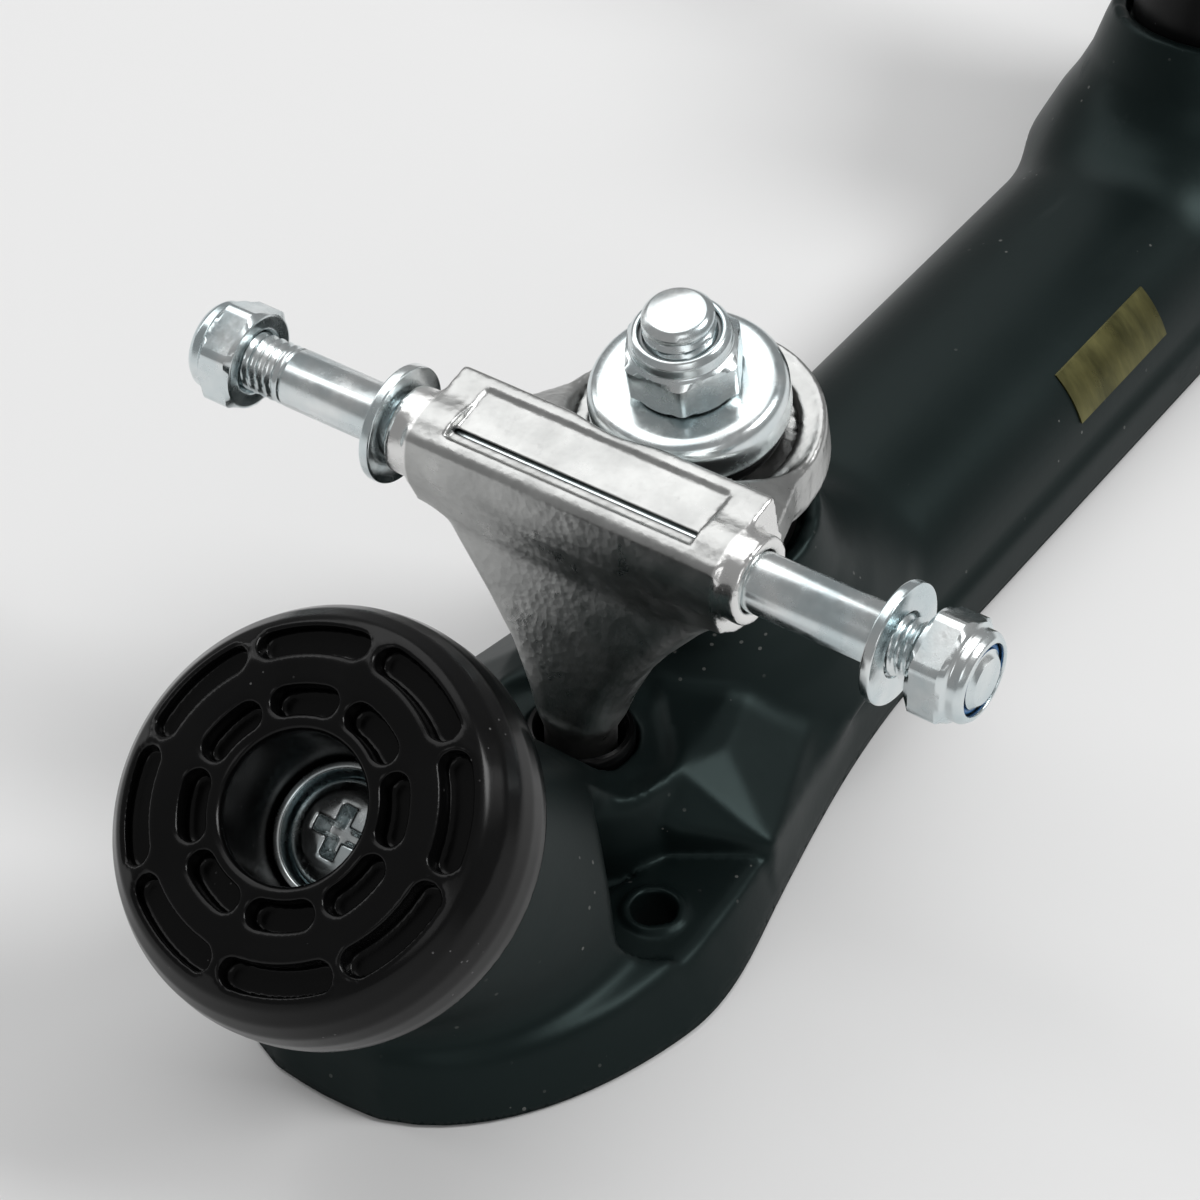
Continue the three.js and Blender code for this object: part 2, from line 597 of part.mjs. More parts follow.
function cupWasher() {
  const inner = CUP_WASHER_RADIUS - CUP_WASHER_WALL;
  const under = CUP_WASHER_TOP - CUP_WASHER_WALL;
  return turned([
    [KINGPIN_RADIUS + GAP, under], [inner - 1, under], [inner, under - 1], [inner, CUP_WASHER_BOTTOM],
    [CUP_WASHER_RADIUS, CUP_WASHER_BOTTOM], [CUP_WASHER_RADIUS, CUP_WASHER_TOP - 2.2],
    [CUP_WASHER_RADIUS - 0.7, CUP_WASHER_TOP - 0.7], [CUP_WASHER_RADIUS - 2.2, CUP_WASHER_TOP],
    [KINGPIN_RADIUS + GAP, CUP_WASHER_TOP], [KINGPIN_RADIUS + GAP, under],
  ]);
}

function upperCushion() {
  const low = RING_WEB_HALF + GAP;
  const top = CUP_WASHER_TOP - CUP_WASHER_WALL - GAP;
  const snug = CUP_WASHER_RADIUS - CUP_WASHER_WALL - GAP;
  return turned([
    [CUSHION_BORE, low + 0.6], [CUSHION_RADIUS - 0.4, low + CUSHION_RELIEF], [CUSHION_RADIUS, RING_HALF + 1],
    [snug, CUP_WASHER_BOTTOM - 0.4], [snug, top - 1.4], [snug - 1.2, top], [CUSHION_BORE, top],
    [CUSHION_BORE, low + 0.6],
  ]);
}

function lowerCushion() {
  const low = BOSS_CUP_FLOOR + GAP;
  const top = -RING_WEB_HALF - GAP;
  return turned([
    [CUSHION_BORE, low], [CUSHION_RADIUS - 0.8, low], [CUSHION_RADIUS, low + 1], [CUSHION_RADIUS, -RING_HALF - 0.8],
    [CUSHION_RADIUS - 0.4, top - CUSHION_RELIEF], [CUSHION_BORE, top - 0.6], [CUSHION_BORE, low],
  ]);
}

// ---------------------------------------------------------------- toe stop
function slot(radius, halfWidth, angle, halfSpan, depth) {
  const steps = 3;
  const outline = [];
  for (let step = 0; step <= steps; step += 1) {
    const turn = angle - halfSpan + (2 * halfSpan * step) / steps;
    outline.push([(radius + halfWidth) * Math.cos(turn), (radius + halfWidth) * Math.sin(turn)]);
  }
  for (let step = steps; step >= 0; step -= 1) {
    const turn = angle - halfSpan + (2 * halfSpan * step) / steps;
    outline.push([(radius - halfWidth) * Math.cos(turn), (radius - halfWidth) * Math.sin(turn)]);
  }
  return prism(outline, -depth, 1);
}

function toeStop() {
  const profile = [
    [0, STOP_STEM_END], [STOP_STEM_RADIUS, STOP_STEM_END], [STOP_STEM_RADIUS, STOP_BACK],
    [STOP_RADIUS - 2.5, STOP_BACK], [STOP_RADIUS - 0.6, -15.4], [STOP_RADIUS, -13.6], [STOP_RADIUS, -8.2],
    [STOP_RADIUS - 0.8, -4.8], [STOP_RADIUS - 2.6, -2.2], [STOP_RADIUS - 5, -0.6], [STOP_RADIUS - 7, 0], [0, 0],
  ];
  let stop = turned(profile, STOP_ROUND);
  stop = stop.subtract(rod(STOP_HOLE_RADIUS, STOP_HOLE_FLOOR, 1, ROUND));
  stop = stop.subtract(rod(STOP_BOLT_RADIUS + GAP, STOP_STEM_END - 1, 0));
  for (let count = 0; count < 8; count += 1) {
    const angle = (count + 0.5) * (Math.PI / 4);
    for (const { radius, halfSpan } of STOP_SLOT_RINGS) {
      stop = stop.subtract(slot(radius, STOP_SLOT_HALF, angle, halfSpan, STOP_SLOT_DEPTH));
    }
  }
  return stop;
}

function toeStopBolt() {
  const { low, top, radius } = STOP_BOLT_HEAD;
  const bolt = turned([[0, STOP_BOLT_END], [STOP_BOLT_RADIUS - 0.6, STOP_BOLT_END],
    [STOP_BOLT_RADIUS, STOP_BOLT_END + 0.6], [STOP_BOLT_RADIUS, low], [radius, low], [radius, low + 2.2],
    [radius - 1.4, top - 0.6], [radius - 3.4, top], [0, top]], SMALL_ROUND);
  const recess = block(6, 1.4, 3, 0, 0, top).add(block(1.4, 6, 3, 0, 0, top));
  return bolt.subtract(recess);
}

function toeStopCup() {
  const { outer, inner, low, floor, top } = STOP_CUP;
  const bore = STOP_BOLT_RADIUS + GAP;
  return turned([[bore, low], [outer, low], [outer, top], [inner, top], [inner, floor], [bore, floor], [bore, low]]);
}

function toeStopNut() {
  return hexPrism(STOP_NUT.across, STOP_NUT.low, STOP_NUT.top)
    .subtract(rod(STOP_BOLT_RADIUS + GAP, STOP_NUT.low - 1, STOP_NUT.top + 1));
}

// ---------------------------------------------------------------- label on the spine's side
function label() {
  const spine = crossSection([0, SPINE_SKIRT, SPINE_HEIGHT, SPINE_POWER], 0, 0, CROWN_PLANES);
  const lying = spine.slice(2, 5);
  const lifted = (lift) => lying.map(([, y, z]) => [y + lift, z + lift * 0.5]);
  const back = lifted(GAP);
  const face = lifted(GAP + LABEL.thickness);
  return alongX([...back, ...face.reverse()], LABEL.middle, LABEL.length / 2);
}

function alongX(outline, middle, half) {
  const shape = new THREE.Shape(outline.map(([y, z]) => new THREE.Vector2(y, z)));
  const geometry = new THREE.ExtrudeGeometry(shape, { depth: 2 * half, bevelEnabled: false });
  geometry.rotateX(Math.PI / 2);
  geometry.rotateZ(Math.PI / 2);
  geometry.translate(middle - half, 0, 0);
  return solidOf(geometry);
}

// ---------------------------------------------------------------- assembly
const group = new THREE.Group();
group.name = 'quad_skate_plate';

const LOOKS = {
  nylon: [0x1e2225, 0.5, 0],
  cast_aluminium: [0xb9bbba, 0.45, 0.9],
  zinc_steel: [0xbfc6c8, 0.3, 0.95],
  rubber: [0x131415, 0.4, 0],
  nylon_blue: [0x2c5fb4, 0.5, 0],
  nylon_grey: [0x9aa0a2, 0.5, 0],
  foil: [0x9a8b4a, 0.4, 0.5],
};

function place(name, solid, look, matrix = new THREE.Matrix4()) {
  const [color, roughness, metalness] = LOOKS[look];
  const material = new THREE.MeshStandardMaterial({ color, roughness, metalness });
  material.name = look;
  const mesh = new THREE.Mesh(geometryOf(moved(solid, matrix)), material);
  mesh.name = name;
  group.add(mesh);
}

function placeTruck(end, axleX, heading, insertLook) {
  const truck = new THREE.Matrix4().makeRotationZ(heading).setPosition(axleX, 0, AXLE_HEIGHT);
  const line = kingpinLine(axleX, heading);
  place(`${end}_hanger`, hanger(), 'cast_aluminium', truck);
  place(`${end}_axle`, axle(), 'zinc_steel', truck);
  place(`${end}_pivot_cup`, pivotCup(), 'rubber', truck);
  place(`${end}_kingpin`, kingpin(), 'zinc_steel', line);
  place(`${end}_kingpin_nut`, lockNut(KINGPIN_NUT, KINGPIN_RADIUS), 'zinc_steel', line);
  place(`${end}_kingpin_nut_insert`, lockRing(KINGPIN_NUT, KINGPIN_RADIUS), 'nylon_grey', line);
  place(`${end}_cup_washer`, cupWasher(), 'zinc_steel', line);
  place(`${end}_upper_cushion`, upperCushion(), 'rubber', line);
  place(`${end}_lower_cushion`, lowerCushion(), 'rubber', line);
  for (const [side, way] of [['left', 1], ['right', -1]]) {
    const outward = new THREE.Matrix4().makeRotationX((-Math.PI / 2) * way).setPosition(axleX, 0, AXLE_HEIGHT);
    place(`${end}_axle_nut_${side}`, lockNut(AXLE_NUT, THREAD_RADIUS), 'zinc_steel', outward);
    place(`${end}_nut_insert_${side}`, lockRing(AXLE_NUT, THREAD_RADIUS), insertLook, outward);
    const at = Math.abs(WASHERS[`${end}_${side}`]);
    const washer = tube(WASHER_INNER, WASHER_OUTER, at - WASHER_HALF, at + WASHER_HALF, ROUND);
    place(`${end}_axle_washer_${side}`, washer, 'zinc_steel', outward);
  }
}

place('sole_plate', solePlate(), 'nylon');
placeTruck('front', FRONT_AXLE_X, 0, 'nylon_blue');
placeTruck('rear', REAR_AXLE_X, Math.PI, 'nylon_grey');
place('toe_stop', toeStop(), 'rubber', toeStopLine());
place('toe_stop_bolt', toeStopBolt(), 'zinc_steel', toeStopLine());
place('toe_stop_cup_washer', toeStopCup(), 'zinc_steel', toeStopLine());
place('toe_stop_nut', toeStopNut(), 'zinc_steel', toeStopLine());
place('blank_label', label(), 'foil');

export default group;
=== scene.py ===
import math

import bmesh
import bpy
import numpy as np
from mathutils import Matrix, Vector


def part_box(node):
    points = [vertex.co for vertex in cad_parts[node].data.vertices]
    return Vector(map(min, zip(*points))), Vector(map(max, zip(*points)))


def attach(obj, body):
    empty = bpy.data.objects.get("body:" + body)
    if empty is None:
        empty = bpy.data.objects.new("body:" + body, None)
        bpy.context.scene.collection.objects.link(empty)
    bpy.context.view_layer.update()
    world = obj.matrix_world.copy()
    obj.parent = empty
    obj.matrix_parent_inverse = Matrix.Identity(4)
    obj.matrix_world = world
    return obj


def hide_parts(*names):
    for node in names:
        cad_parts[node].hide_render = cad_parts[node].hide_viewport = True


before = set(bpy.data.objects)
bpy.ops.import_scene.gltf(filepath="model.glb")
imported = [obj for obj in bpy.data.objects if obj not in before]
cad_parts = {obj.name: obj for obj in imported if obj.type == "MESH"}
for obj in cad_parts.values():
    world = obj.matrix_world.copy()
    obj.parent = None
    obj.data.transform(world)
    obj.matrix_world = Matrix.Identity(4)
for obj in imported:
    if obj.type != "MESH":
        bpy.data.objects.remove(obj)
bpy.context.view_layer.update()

# Shapes are written in millimetres, in the part's own frame, and scaled to metres when a mesh is made.
MM = 0.001


def middle(node):
    low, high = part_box(node)
    return (low + high) / 2


FRONT_AXLE = middle("front_axle") / MM
REAR_AXLE = middle("rear_axle") / MM
FX, RX, AXLE_Z = FRONT_AXLE.x, REAR_AXLE.x, FRONT_AXLE.z

# ---------------------------------------------------------------- places
KINGPIN_TILT = math.radians(11)
RING_CENTRE = (-26.0, 0.0, -7.7)
PIVOT_X, PIVOT_Z = 0.8, -41.5
STOP_TILT = math.radians(90 - 53)
STOP_FACE = Vector((FX + 59.8, 0, 52.4))

FRONT = Matrix.Translation(FRONT_AXLE)
REAR = Matrix.Translation(REAR_AXLE) @ Matrix.Rotation(math.pi, 4, "Z")
KINGPIN = Matrix.Translation(RING_CENTRE) @ Matrix.Rotation(KINGPIN_TILT, 4, "Y")
STOP = Matrix.Translation(STOP_FACE) @ Matrix.Rotation(STOP_TILT, 4, "Y")
TRUCKS = {"front": FRONT, "rear": REAR}


# ---------------------------------------------------------------- distance fields
class Grid:
    """A box of evenly spaced points, in millimetres."""

    def __init__(self, low, high, step):
        self.low = np.array(low, float)
        self.step = step
        count = np.ceil((np.array(high) - self.low) / step).astype(int) + 1
        along = [np.arange(n) * step + lo for n, lo in zip(count, self.low)]
        self.x = along[0][:, None, None].astype(np.float32)
        self.y = along[1][None, :, None].astype(np.float32)
        self.z = along[2][None, None, :].astype(np.float32)

    def local(self, matrix):
        """The points' coordinates in a placed frame."""
        back = matrix.inverted()
        out = []
        for row in back[:3]:
            value = np.float32(row[3])
            for factor, along in zip(row[:3], (self.x, self.y, self.z)):
                if abs(factor) > 1e-6:
                    value = value + np.float32(factor) * along
            out.append(value)
        return out


def join(a, b, soft):
    """Union, with a fillet about as wide as soft."""
    near = np.maximum(soft - np.abs(a - b), 0) / soft
    return np.minimum(a, b) - near * near * soft * 0.25


def meet(a, b, soft):
    return -join(-a, -b, soft)


def cut(a, b, soft):
    return -join(-a, b, soft)


def polygon(points, u, v):
    """Signed distance to a closed outline in the plane of u and v."""
    nearest = None
    inside = None
    for (a0, a1), (b0, b1) in zip(points, points[1:] + points[:1]):
        e0, e1 = b0 - a0, b1 - a1
        size = e0 * e0 + e1 * e1
        if size < 1e-9:
            continue
        du, dv = u - np.float32(a0), v - np.float32(a1)
        t = np.clip((du * e0 + dv * e1) / size, 0, 1)
        gap = (du - t * e0) ** 2 + (dv - t * e1) ** 2
        crosses = ((v >= a1) != (v >= b1)) & ((e0 * dv - e1 * du > 0) == (e1 > 0)) & (e1 != 0)
        nearest = gap if nearest is None else np.minimum(nearest, gap)
        inside = crosses if inside is None else inside ^ crosses
    return np.where(inside, -np.sqrt(nearest), np.sqrt(nearest)).astype(np.float32)


def turned(points, u, v, w):
    """Signed distance to a turned solid about the local w axis, from an outline of (radius, height)."""
    mirrored = [(-r, h) for r, h in points if r > 0][::-1]
    return polygon(list(points) + mirrored, np.sqrt(u * u + v * v), w)


def rod(radius, low, high, u, v, w):
    return np.maximum(np.sqrt(u * u + v * v) - radius, np.maximum(low - w, w - high))


def hull_field(points, grid):
    """The distance to a convex solid through these corners, by its outer planes."""
    work = bmesh.new()
    for point in points:
        work.verts.new(point)
    bmesh.ops.convex_hull(work, input=work.verts)
    centre = sum((Vector(p) for p in points), Vector()) / len(points)
    out = None
    for face in work.faces:
        face.normal_update()
        normal = face.normal.copy()
        spot = face.verts[0].co
        if normal.dot(face.calc_center_median() - centre) < 0:
            normal = -normal
        value = np.float32(-normal.dot(spot))
        for factor, along in zip(normal, (grid.x, grid.y, grid.z)):
            if abs(factor) > 1e-6:
                value = value + np.float32(factor) * along
        out = value if out is None else np.maximum(out, value)
    work.free()
    return out


def surface(field, grid, smoothing=1):
    """The field's zero level as vertices in millimetres and quads, one vertex for each crossed cell."""
    field = np.where(np.abs(field) < 1e-5, np.float32(1e-5), field)
    cells = np.array(field.shape) - 1
    strides = np.array([cells[1] * cells[2], cells[2], 1])
    total = int(np.prod(cells))
    sums = np.zeros((total, 3))
    counts = np.zeros(total)
    quads = []
    for axis in range(3):
        first = np.take(field, range(field.shape[axis] - 1), axis)
        second = np.take(field, range(1, field.shape[axis]), axis)
        edges = np.argwhere((first < 0) != (second < 0))
        a = first[tuple(edges.T)]
        b = second[tuple(edges.T)]
        point = edges.astype(float)
        point[:, axis] += a / (a - b)
        one, two = [(axis + 1) % 3, (axis + 2) % 3]
        corner = []
        for back_one, back_two in ((0, 0), (1, 0), (1, 1), (0, 1)):
            cell = edges.copy()
            cell[:, one] -= back_one
            cell[:, two] -= back_two
            flat = cell @ strides
            corner.append(flat)
            counts += np.bincount(flat, minlength=total)
            for k in range(3):
                sums[:, k] += np.bincount(flat, weights=point[:, k], minlength=total)
        quad = np.stack(corner, 1)
        quad[a > 0] = quad[a > 0][:, ::-1]
        quads.append(quad)
    used = np.flatnonzero(counts)
    number = np.full(total, -1)
    number[used] = np.arange(len(used))
    faces = number[np.concatenate(quads)]
    verts = sums[used] / counts[used][:, None]
    for _ in range(smoothing):
        near = np.zeros_like(verts)
        times = np.zeros(len(verts))
        for k in range(4):
            a, b = faces[:, k], faces[:, (k + 1) % 4]
            for p, q in ((a, b), (b, a)):
                times += np.bincount(p, minlength=len(verts))
                for c in range(3):
                    near[:, c] += np.bincount(p, weights=verts[q, c], minlength=len(verts))
        verts = 0.5 * verts + 0.5 * near / times[:, None]
    return verts * grid.step + grid.low, faces


def sampled(field, grid, points):
    """The field's value and slope at loose points, between the grid's own."""
    place = (points - grid.low) / grid.step
    corner = np.clip(np.floor(place).astype(int), 0, np.array(field.shape) - 2)
    part = place - corner
    value = np.zeros(len(points))
    slope = np.zeros_like(points)
    for step in np.ndindex(2, 2, 2):
        share = [part[:, k] if step[k] else 1 - part[:, k] for k in range(3)]
        at = field[tuple((corner + step).T)]
        value += at * share[0] * share[1] * share[2]
        for k in range(3):
            one, two = [n for n in range(3) if n != k]
            slope[:, k] += at * (1 if step[k] else -1) * share[one] * share[two] / grid.step
    return value, slope


def flat_base(verts, faces, walls, grid):
    """Sets the lowest vertices on the sole plane, and those at its rim on the walls that rise from it."""
    verts[verts[:, 2] < grid.step * 0.45, 2] = 0
    low = verts[faces, 2] == 0
    mixed = low.any(1) & ~low.all(1)
    rim = np.unique(faces[mixed][low[mixed]])
    for _ in range(3):
        value, slope = sampled(walls, grid, verts[rim])
        slope[:, 2] = 0
        size = np.maximum((slope ** 2).sum(1), 0.25)
        shift = np.clip(-value / size, -grid.step, grid.step)
        verts[rim] += shift[:, None] * slope


# ---------------------------------------------------------------- meshes
def piece(name, verts, faces, matrix, material, body, node, sharp=None):
    """A mesh from points in millimetres, in place, riding on a body and standing for a CAD node."""
    verts = np.asarray(verts, float)
    place = np.array(matrix)
    world = (verts @ place[:3, :3].T + place[:3, 3]) * MM
    mesh = bpy.data.meshes.new(name)
    if isinstance(faces, np.ndarray):
        mesh.vertices.add(len(world))
        mesh.vertices.foreach_set("co", world.astype(np.float32).ravel())
        mesh.loops.add(faces.size)
        mesh.loops.foreach_set("vertex_index", faces.astype(np.int32).ravel())
        mesh.polygons.add(len(faces))
        mesh.polygons.foreach_set("loop_start", np.arange(len(faces), dtype=np.int32) * faces.shape[1])
        mesh.update(calc_edges=True)
        mesh.validate()
    else:
        mesh.from_pydata([tuple(v) for v in world], [], faces)
    mesh.polygons.foreach_set("use_smooth", [True] * len(mesh.polygons))
    if sharp is not None:
        mesh.set_sharp_from_angle(angle=math.radians(sharp))
    mesh.materials.append(material)
    made = bpy.data.objects.new(name, mesh)
    bpy.context.scene.collection.objects.link(made)
    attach(made, body)
    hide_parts(node)
    return made


def softened(points, radius, closed, steps=4):
    """An outline with its corners rounded."""
    out = []
    count = len(points)
    for n, here in enumerate(points):
        if not closed and n in (0, count - 1):
            out.append(here)
            continue
        here = np.array(here, float)
        before = np.array(points[n - 1], float)
        after = np.array(points[(n + 1) % count], float)
        back, on = before - here, after - here
        back_length, on_length = np.linalg.norm(back), np.linalg.norm(on)
        if min(back_length, on_length) < 1e-6:
            out.append(tuple(here))
            continue
        reach = min(radius, back_length * 0.45, on_length * 0.45)
        start = here + back / back_length * reach
        end = here + on / on_length * reach
        for step in range(steps + 1):
            t = step / steps
            out.append(tuple((1 - t) ** 2 * start + 2 * t * (1 - t) * here + t * t * end))
    return out


def spun(rings, segments, radius_at=None):
    """A solid spun about Z from (radius, height) rings, as vertices and faces; radius 0 closes it."""
    turn = np.linspace(0, 2 * math.pi, segments, endpoint=False)
    verts, faces, starts = [], [], []
    for radius, height in rings:
        if radius < 1e-6:
            starts.append((len(verts), 1))
            verts.append((0, 0, height))
            continue
        starts.append((len(verts), segments))
        limit = np.full(segments, radius) if radius_at is None else np.minimum(radius, radius_at(turn))
        verts.extend(zip(limit * np.cos(turn), limit * np.sin(turn), np.full(segments, height)))
    for (a, na), (b, nb) in zip(starts, starts[1:]):
        for k in range(segments):
            n = (k + 1) % segments
            if na > 1 and nb > 1:
                faces.append((a + k, a + n, b + n, b + k))
            elif na > 1:
                faces.append((a + k, a + n, b))
            elif nb > 1:
                faces.append((a, b + n, b + k))
    return verts, faces


def lathe(name, profile, matrix, material, body, node, radius=0.4, segments=72, closed=False,
          hexagon=None):
    """A turned piece with softened edges; closed profiles are rings, and a hexagon trims it to flats."""
    rings = softened(profile, radius, closed)
    if closed:
        rings.append(rings[0])
    verts, faces = spun(rings, segments, hexagon)
    if closed:
        ring = len(rings) - 1
        last = ring * segments
        faces = [tuple(i - last if i >= last else i for i in face) for face in faces]
        verts = verts[:last]
    return piece(name, verts, faces, matrix, material, body, node, sharp=32)


def flats(across):
    """The radius of a hexagon with eased corners, by angle."""
    def radius(turn):
        folded = (turn + math.pi / 6) % (math.pi / 3) - math.pi / 6
        return np.minimum(across / 2 / np.cos(folded), across / math.sqrt(3) * 0.975)
    return radius


def trimmed(verts, top, radius_at):
    """The vertices, with those below a height drawn in to a radius that depends on the angle."""
    out = []
    for x, y, z in verts:
        reach = math.hypot(x, y)
        share = min(1, float(radius_at(math.atan2(y, x))) / reach) if z < top and reach > 0 else 1
        out.append((x * share, y * share, z))
    return out


def threaded(radius, low, high, pitch, depth, segments=48, per_turn=8):
    """Rings of a helical thread between two heights, as a vertex grid of its own."""
    rows = int((high - low) / pitch * per_turn)
    turn = np.linspace(0, 2 * math.pi, segments, endpoint=False)
    verts = []
    for row in range(rows + 1):
        height = low + (high - low) * row / rows
        fade = min(1, (high - height) / pitch + 0.15, (height - low) / pitch + 0.15)
        phase = (height / pitch - turn / (2 * math.pi)) % 1
        groove = np.abs(phase * 2 - 1)
        r = radius - depth * fade * np.clip(groove * 1.3 - 0.15, 0, 1)
        verts.extend(zip(r * np.cos(turn), r * np.sin(turn), np.full(segments, height)))
    return verts, rows


def bolt_mesh(parts, segments=48):
    """One closed skin through plain rings and threaded stretches, listed from the bottom up."""
    verts, rings = [], []
    for part in parts:
        if part[0] == "ring":
            made, _ = spun([part[1:]], segments)
            rings.append((len(verts), len(made)))
            verts.extend(made)
        else:
            made, rows = threaded(*part[1:], segments=segments)
            for row in range(rows + 1):
                rings.append((len(verts) + row * segments, segments))
            verts.extend(made)
    faces = []
    for (a, na), (b, nb) in zip(rings, rings[1:]):
        for k in range(segments):
            n = (k + 1) % segments
            if na > 1 and nb > 1:
                faces.append((a + k, a + n, b + n, b + k))
            elif na > 1:
                faces.append((a + k, a + n, b))
            elif nb > 1:
                faces.append((a, b + n, b + k))
    return verts, faces


# ---------------------------------------------------------------- materials
def new_material(name, **values):
    material = bpy.data.materials.new(name)
    material.use_nodes = True
    shader = material.node_tree.nodes["Principled BSDF"]
    for key, value in values.items():
        shader.inputs[key.replace("_", " ")].default_value = value
    return material, Nodes(material.node_tree, shader)


class Nodes:
    """Short ways to wire a material's nodes."""

    def __init__(self, tree, shader):
        self.tree, self.shader = tree, shader
        self.coordinates = tree.nodes.new("ShaderNodeTexCoord").outputs["Object"]
        self.bumps = []

    def add(self, kind, inputs=(), **settings):
        node = self.tree.nodes.new(kind)
        for key, value in settings.items():
            setattr(node, key, value)
        for key, value in dict(inputs).items():
            if hasattr(value, "links"):
                self.tree.links.new(value, node.inputs[key])
            else:
                node.inputs[key].default_value = value
        return node

    def stretched(self, scale):
        mapping = self.add("ShaderNodeMapping", {"Vector": self.coordinates, "Scale": scale})
        return mapping.outputs["Vector"]

    def noise(self, scale, detail=4, rough=0.55, vector=None):
        made = self.add("ShaderNodeTexNoise", {"Vector": vector or self.coordinates, "Scale": scale,
                                               "Detail": detail, "Roughness": rough})
        return made.outputs["Fac"]

    def cells(self, scale, vector=None, feature="F1"):
        made = self.add("ShaderNodeTexVoronoi", {"Vector": vector or self.coordinates, "Scale": scale},
                        feature=feature)
        return made.outputs["Distance"]

    def ramp(self, value, low, high, out_low=0.0, out_high=1.0):
        made = self.add("ShaderNodeMapRange", {"Value": value, "From Min": low, "From Max": high,
                                               "To Min": out_low, "To Max": out_high})
        return made.outputs["Result"]

    def math(self, operation, a, b=0.0):
        return self.add("ShaderNodeMath", {0: a, 1: b}, operation=operation).outputs[0]

    def mix(self, share, a, b):
        made = self.add("ShaderNodeMix", data_type="RGBA")
        for socket, value in ((0, share), (6, a), (7, b)):
            if hasattr(value, "links"):
                self.tree.links.new(value, made.inputs[socket])
            else:
                made.inputs[socket].default_value = value
        return made.outputs[2]

    def colour(self, value):
        self.tree.links.new(value, self.shader.inputs["Base Color"])

    def roughness(self, value):
        self.tree.links.new(value, self.shader.inputs["Roughness"])

    def bump(self, height, strength, distance):
        made = self.add("ShaderNodeBump", {"Height": height, "Strength": strength, "Distance": distance})
        if self.bumps:
            self.tree.links.new(self.bumps[-1], made.inputs["Normal"])
        self.bumps.append(made.outputs["Normal"])
        self.tree.links.new(made.outputs["Normal"], self.shader.inputs["Normal"])


def nylon():
    material, n = new_material("moulded_nylon", IOR=1.5, Specular_IOR_Level=0.2,
                               Specular_Tint=(0.72, 1.0, 0.98, 1))
    broad = n.noise(22, 5)
    fine = n.noise(900, 3)
    streak = n.noise(130, 6, 0.7, n.stretched((0.25, 1.0, 1.0)))
    scuff = n.ramp(streak, 0.63, 0.74)
    speck = n.math("LESS_THAN", n.cells(420), 0.11)
    sparse = n.math("MULTIPLY", speck, n.ramp(n.noise(60, 2), 0.55, 0.62))
    base = n.mix(n.ramp(broad, 0.35, 0.7), (0.0030, 0.0056, 0.0056, 1), (0.0055, 0.0088, 0.0088, 1))
    scuffed = n.mix(n.math("MULTIPLY", scuff, 0.35), base, (0.03, 0.034, 0.035, 1))
    n.colour(n.mix(n.math("MULTIPLY", sparse, 0.5), scuffed, (0.2, 0.2, 0.19, 1)))
    gloss = n.ramp(broad, 0.3, 0.75, 0.36, 0.46)
    n.roughness(n.math("ADD", gloss, n.math("MULTIPLY", scuff, 0.16)))
    n.bump(fine, 0.18, 0.00006)
    n.bump(n.noise(160, 3), 0.25, 0.00012)
    return material


def cast_aluminium():
    material, n = new_material("cast_aluminium", Metallic=1.0)
    place = n.add("ShaderNodeSeparateXYZ", {"Vector": n.coordinates})
    side = n.math("ABSOLUTE", place.outputs["Y"])
    end = n.ramp(side, 0.0228, 0.0231)
    broad = n.noise(70, 5, 0.6)
    grain = n.cells(900)
    pits = n.ramp(n.noise(520, 4, 0.65), 0.60, 0.72)
    base = n.mix(n.ramp(broad, 0.3, 0.7), (0.38, 0.385, 0.38, 1), (0.58, 0.585, 0.575, 1))
    pitted = n.mix(n.math("MULTIPLY", pits, 0.3), base, (0.3, 0.3, 0.3, 1))
    n.colour(n.mix(end, pitted, (0.8, 0.8, 0.79, 1)))
    rough = n.ramp(n.noise(190, 5, 0.65), 0.3, 0.7, 0.24, 0.42)
    n.roughness(n.math("SUBTRACT", rough, n.math("MULTIPLY", end, 0.08)))
    n.bump(grain, 0.3, 0.00013)
    n.bump(n.noise(420, 6, 0.6), 0.4, 0.00014)
    return material


def zinc_steel():
    material, n = new_material("zinc_plated_steel", Metallic=1.0)
    broad = n.noise(120, 4)
    n.colour(n.mix(n.ramp(broad, 0.35, 0.65), (0.60, 0.68, 0.70, 1), (0.80, 0.83, 0.83, 1)))
    n.roughness(n.ramp(n.noise(380, 5, 0.6), 0.3, 0.75, 0.14, 0.34))
    n.bump(n.noise(700, 4, 0.6), 0.15, 0.00006)
    return material


def rubber(name, tone, low, high):
    material, n = new_material(name, IOR=1.5, Specular_IOR_Level=0.18)
    broad = n.noise(40, 4)
    dust = n.math("LESS_THAN", n.cells(620), 0.09)
    sparse = n.math("MULTIPLY", dust, n.ramp(n.noise(90, 2), 0.58, 0.64))
    dark = (tone, tone, tone * 1.05, 1)
    light = (tone * 1.8, tone * 1.8, tone * 1.9, 1)
    base = n.mix(n.ramp(broad, 0.35, 0.7), dark, light)
    n.colour(n.mix(n.math("MULTIPLY", sparse, 0.35), base, (0.25, 0.25, 0.25, 1)))
    n.roughness(n.ramp(n.noise(150, 4), 0.3, 0.7, low, high))
    n.bump(n.noise(500, 3), 0.1, 0.00006)
    return material


def lock_ring(name, low, high):
    material, n = new_material(name, IOR=1.5)
    n.colour(n.mix(n.noise(400, 3), low, high))
    n.roughness(n.ramp(n.noise(300, 3), 0.3, 0.7, 0.3, 0.5))
    n.bump(n.noise(600, 3), 0.15, 0.00006)
    return material


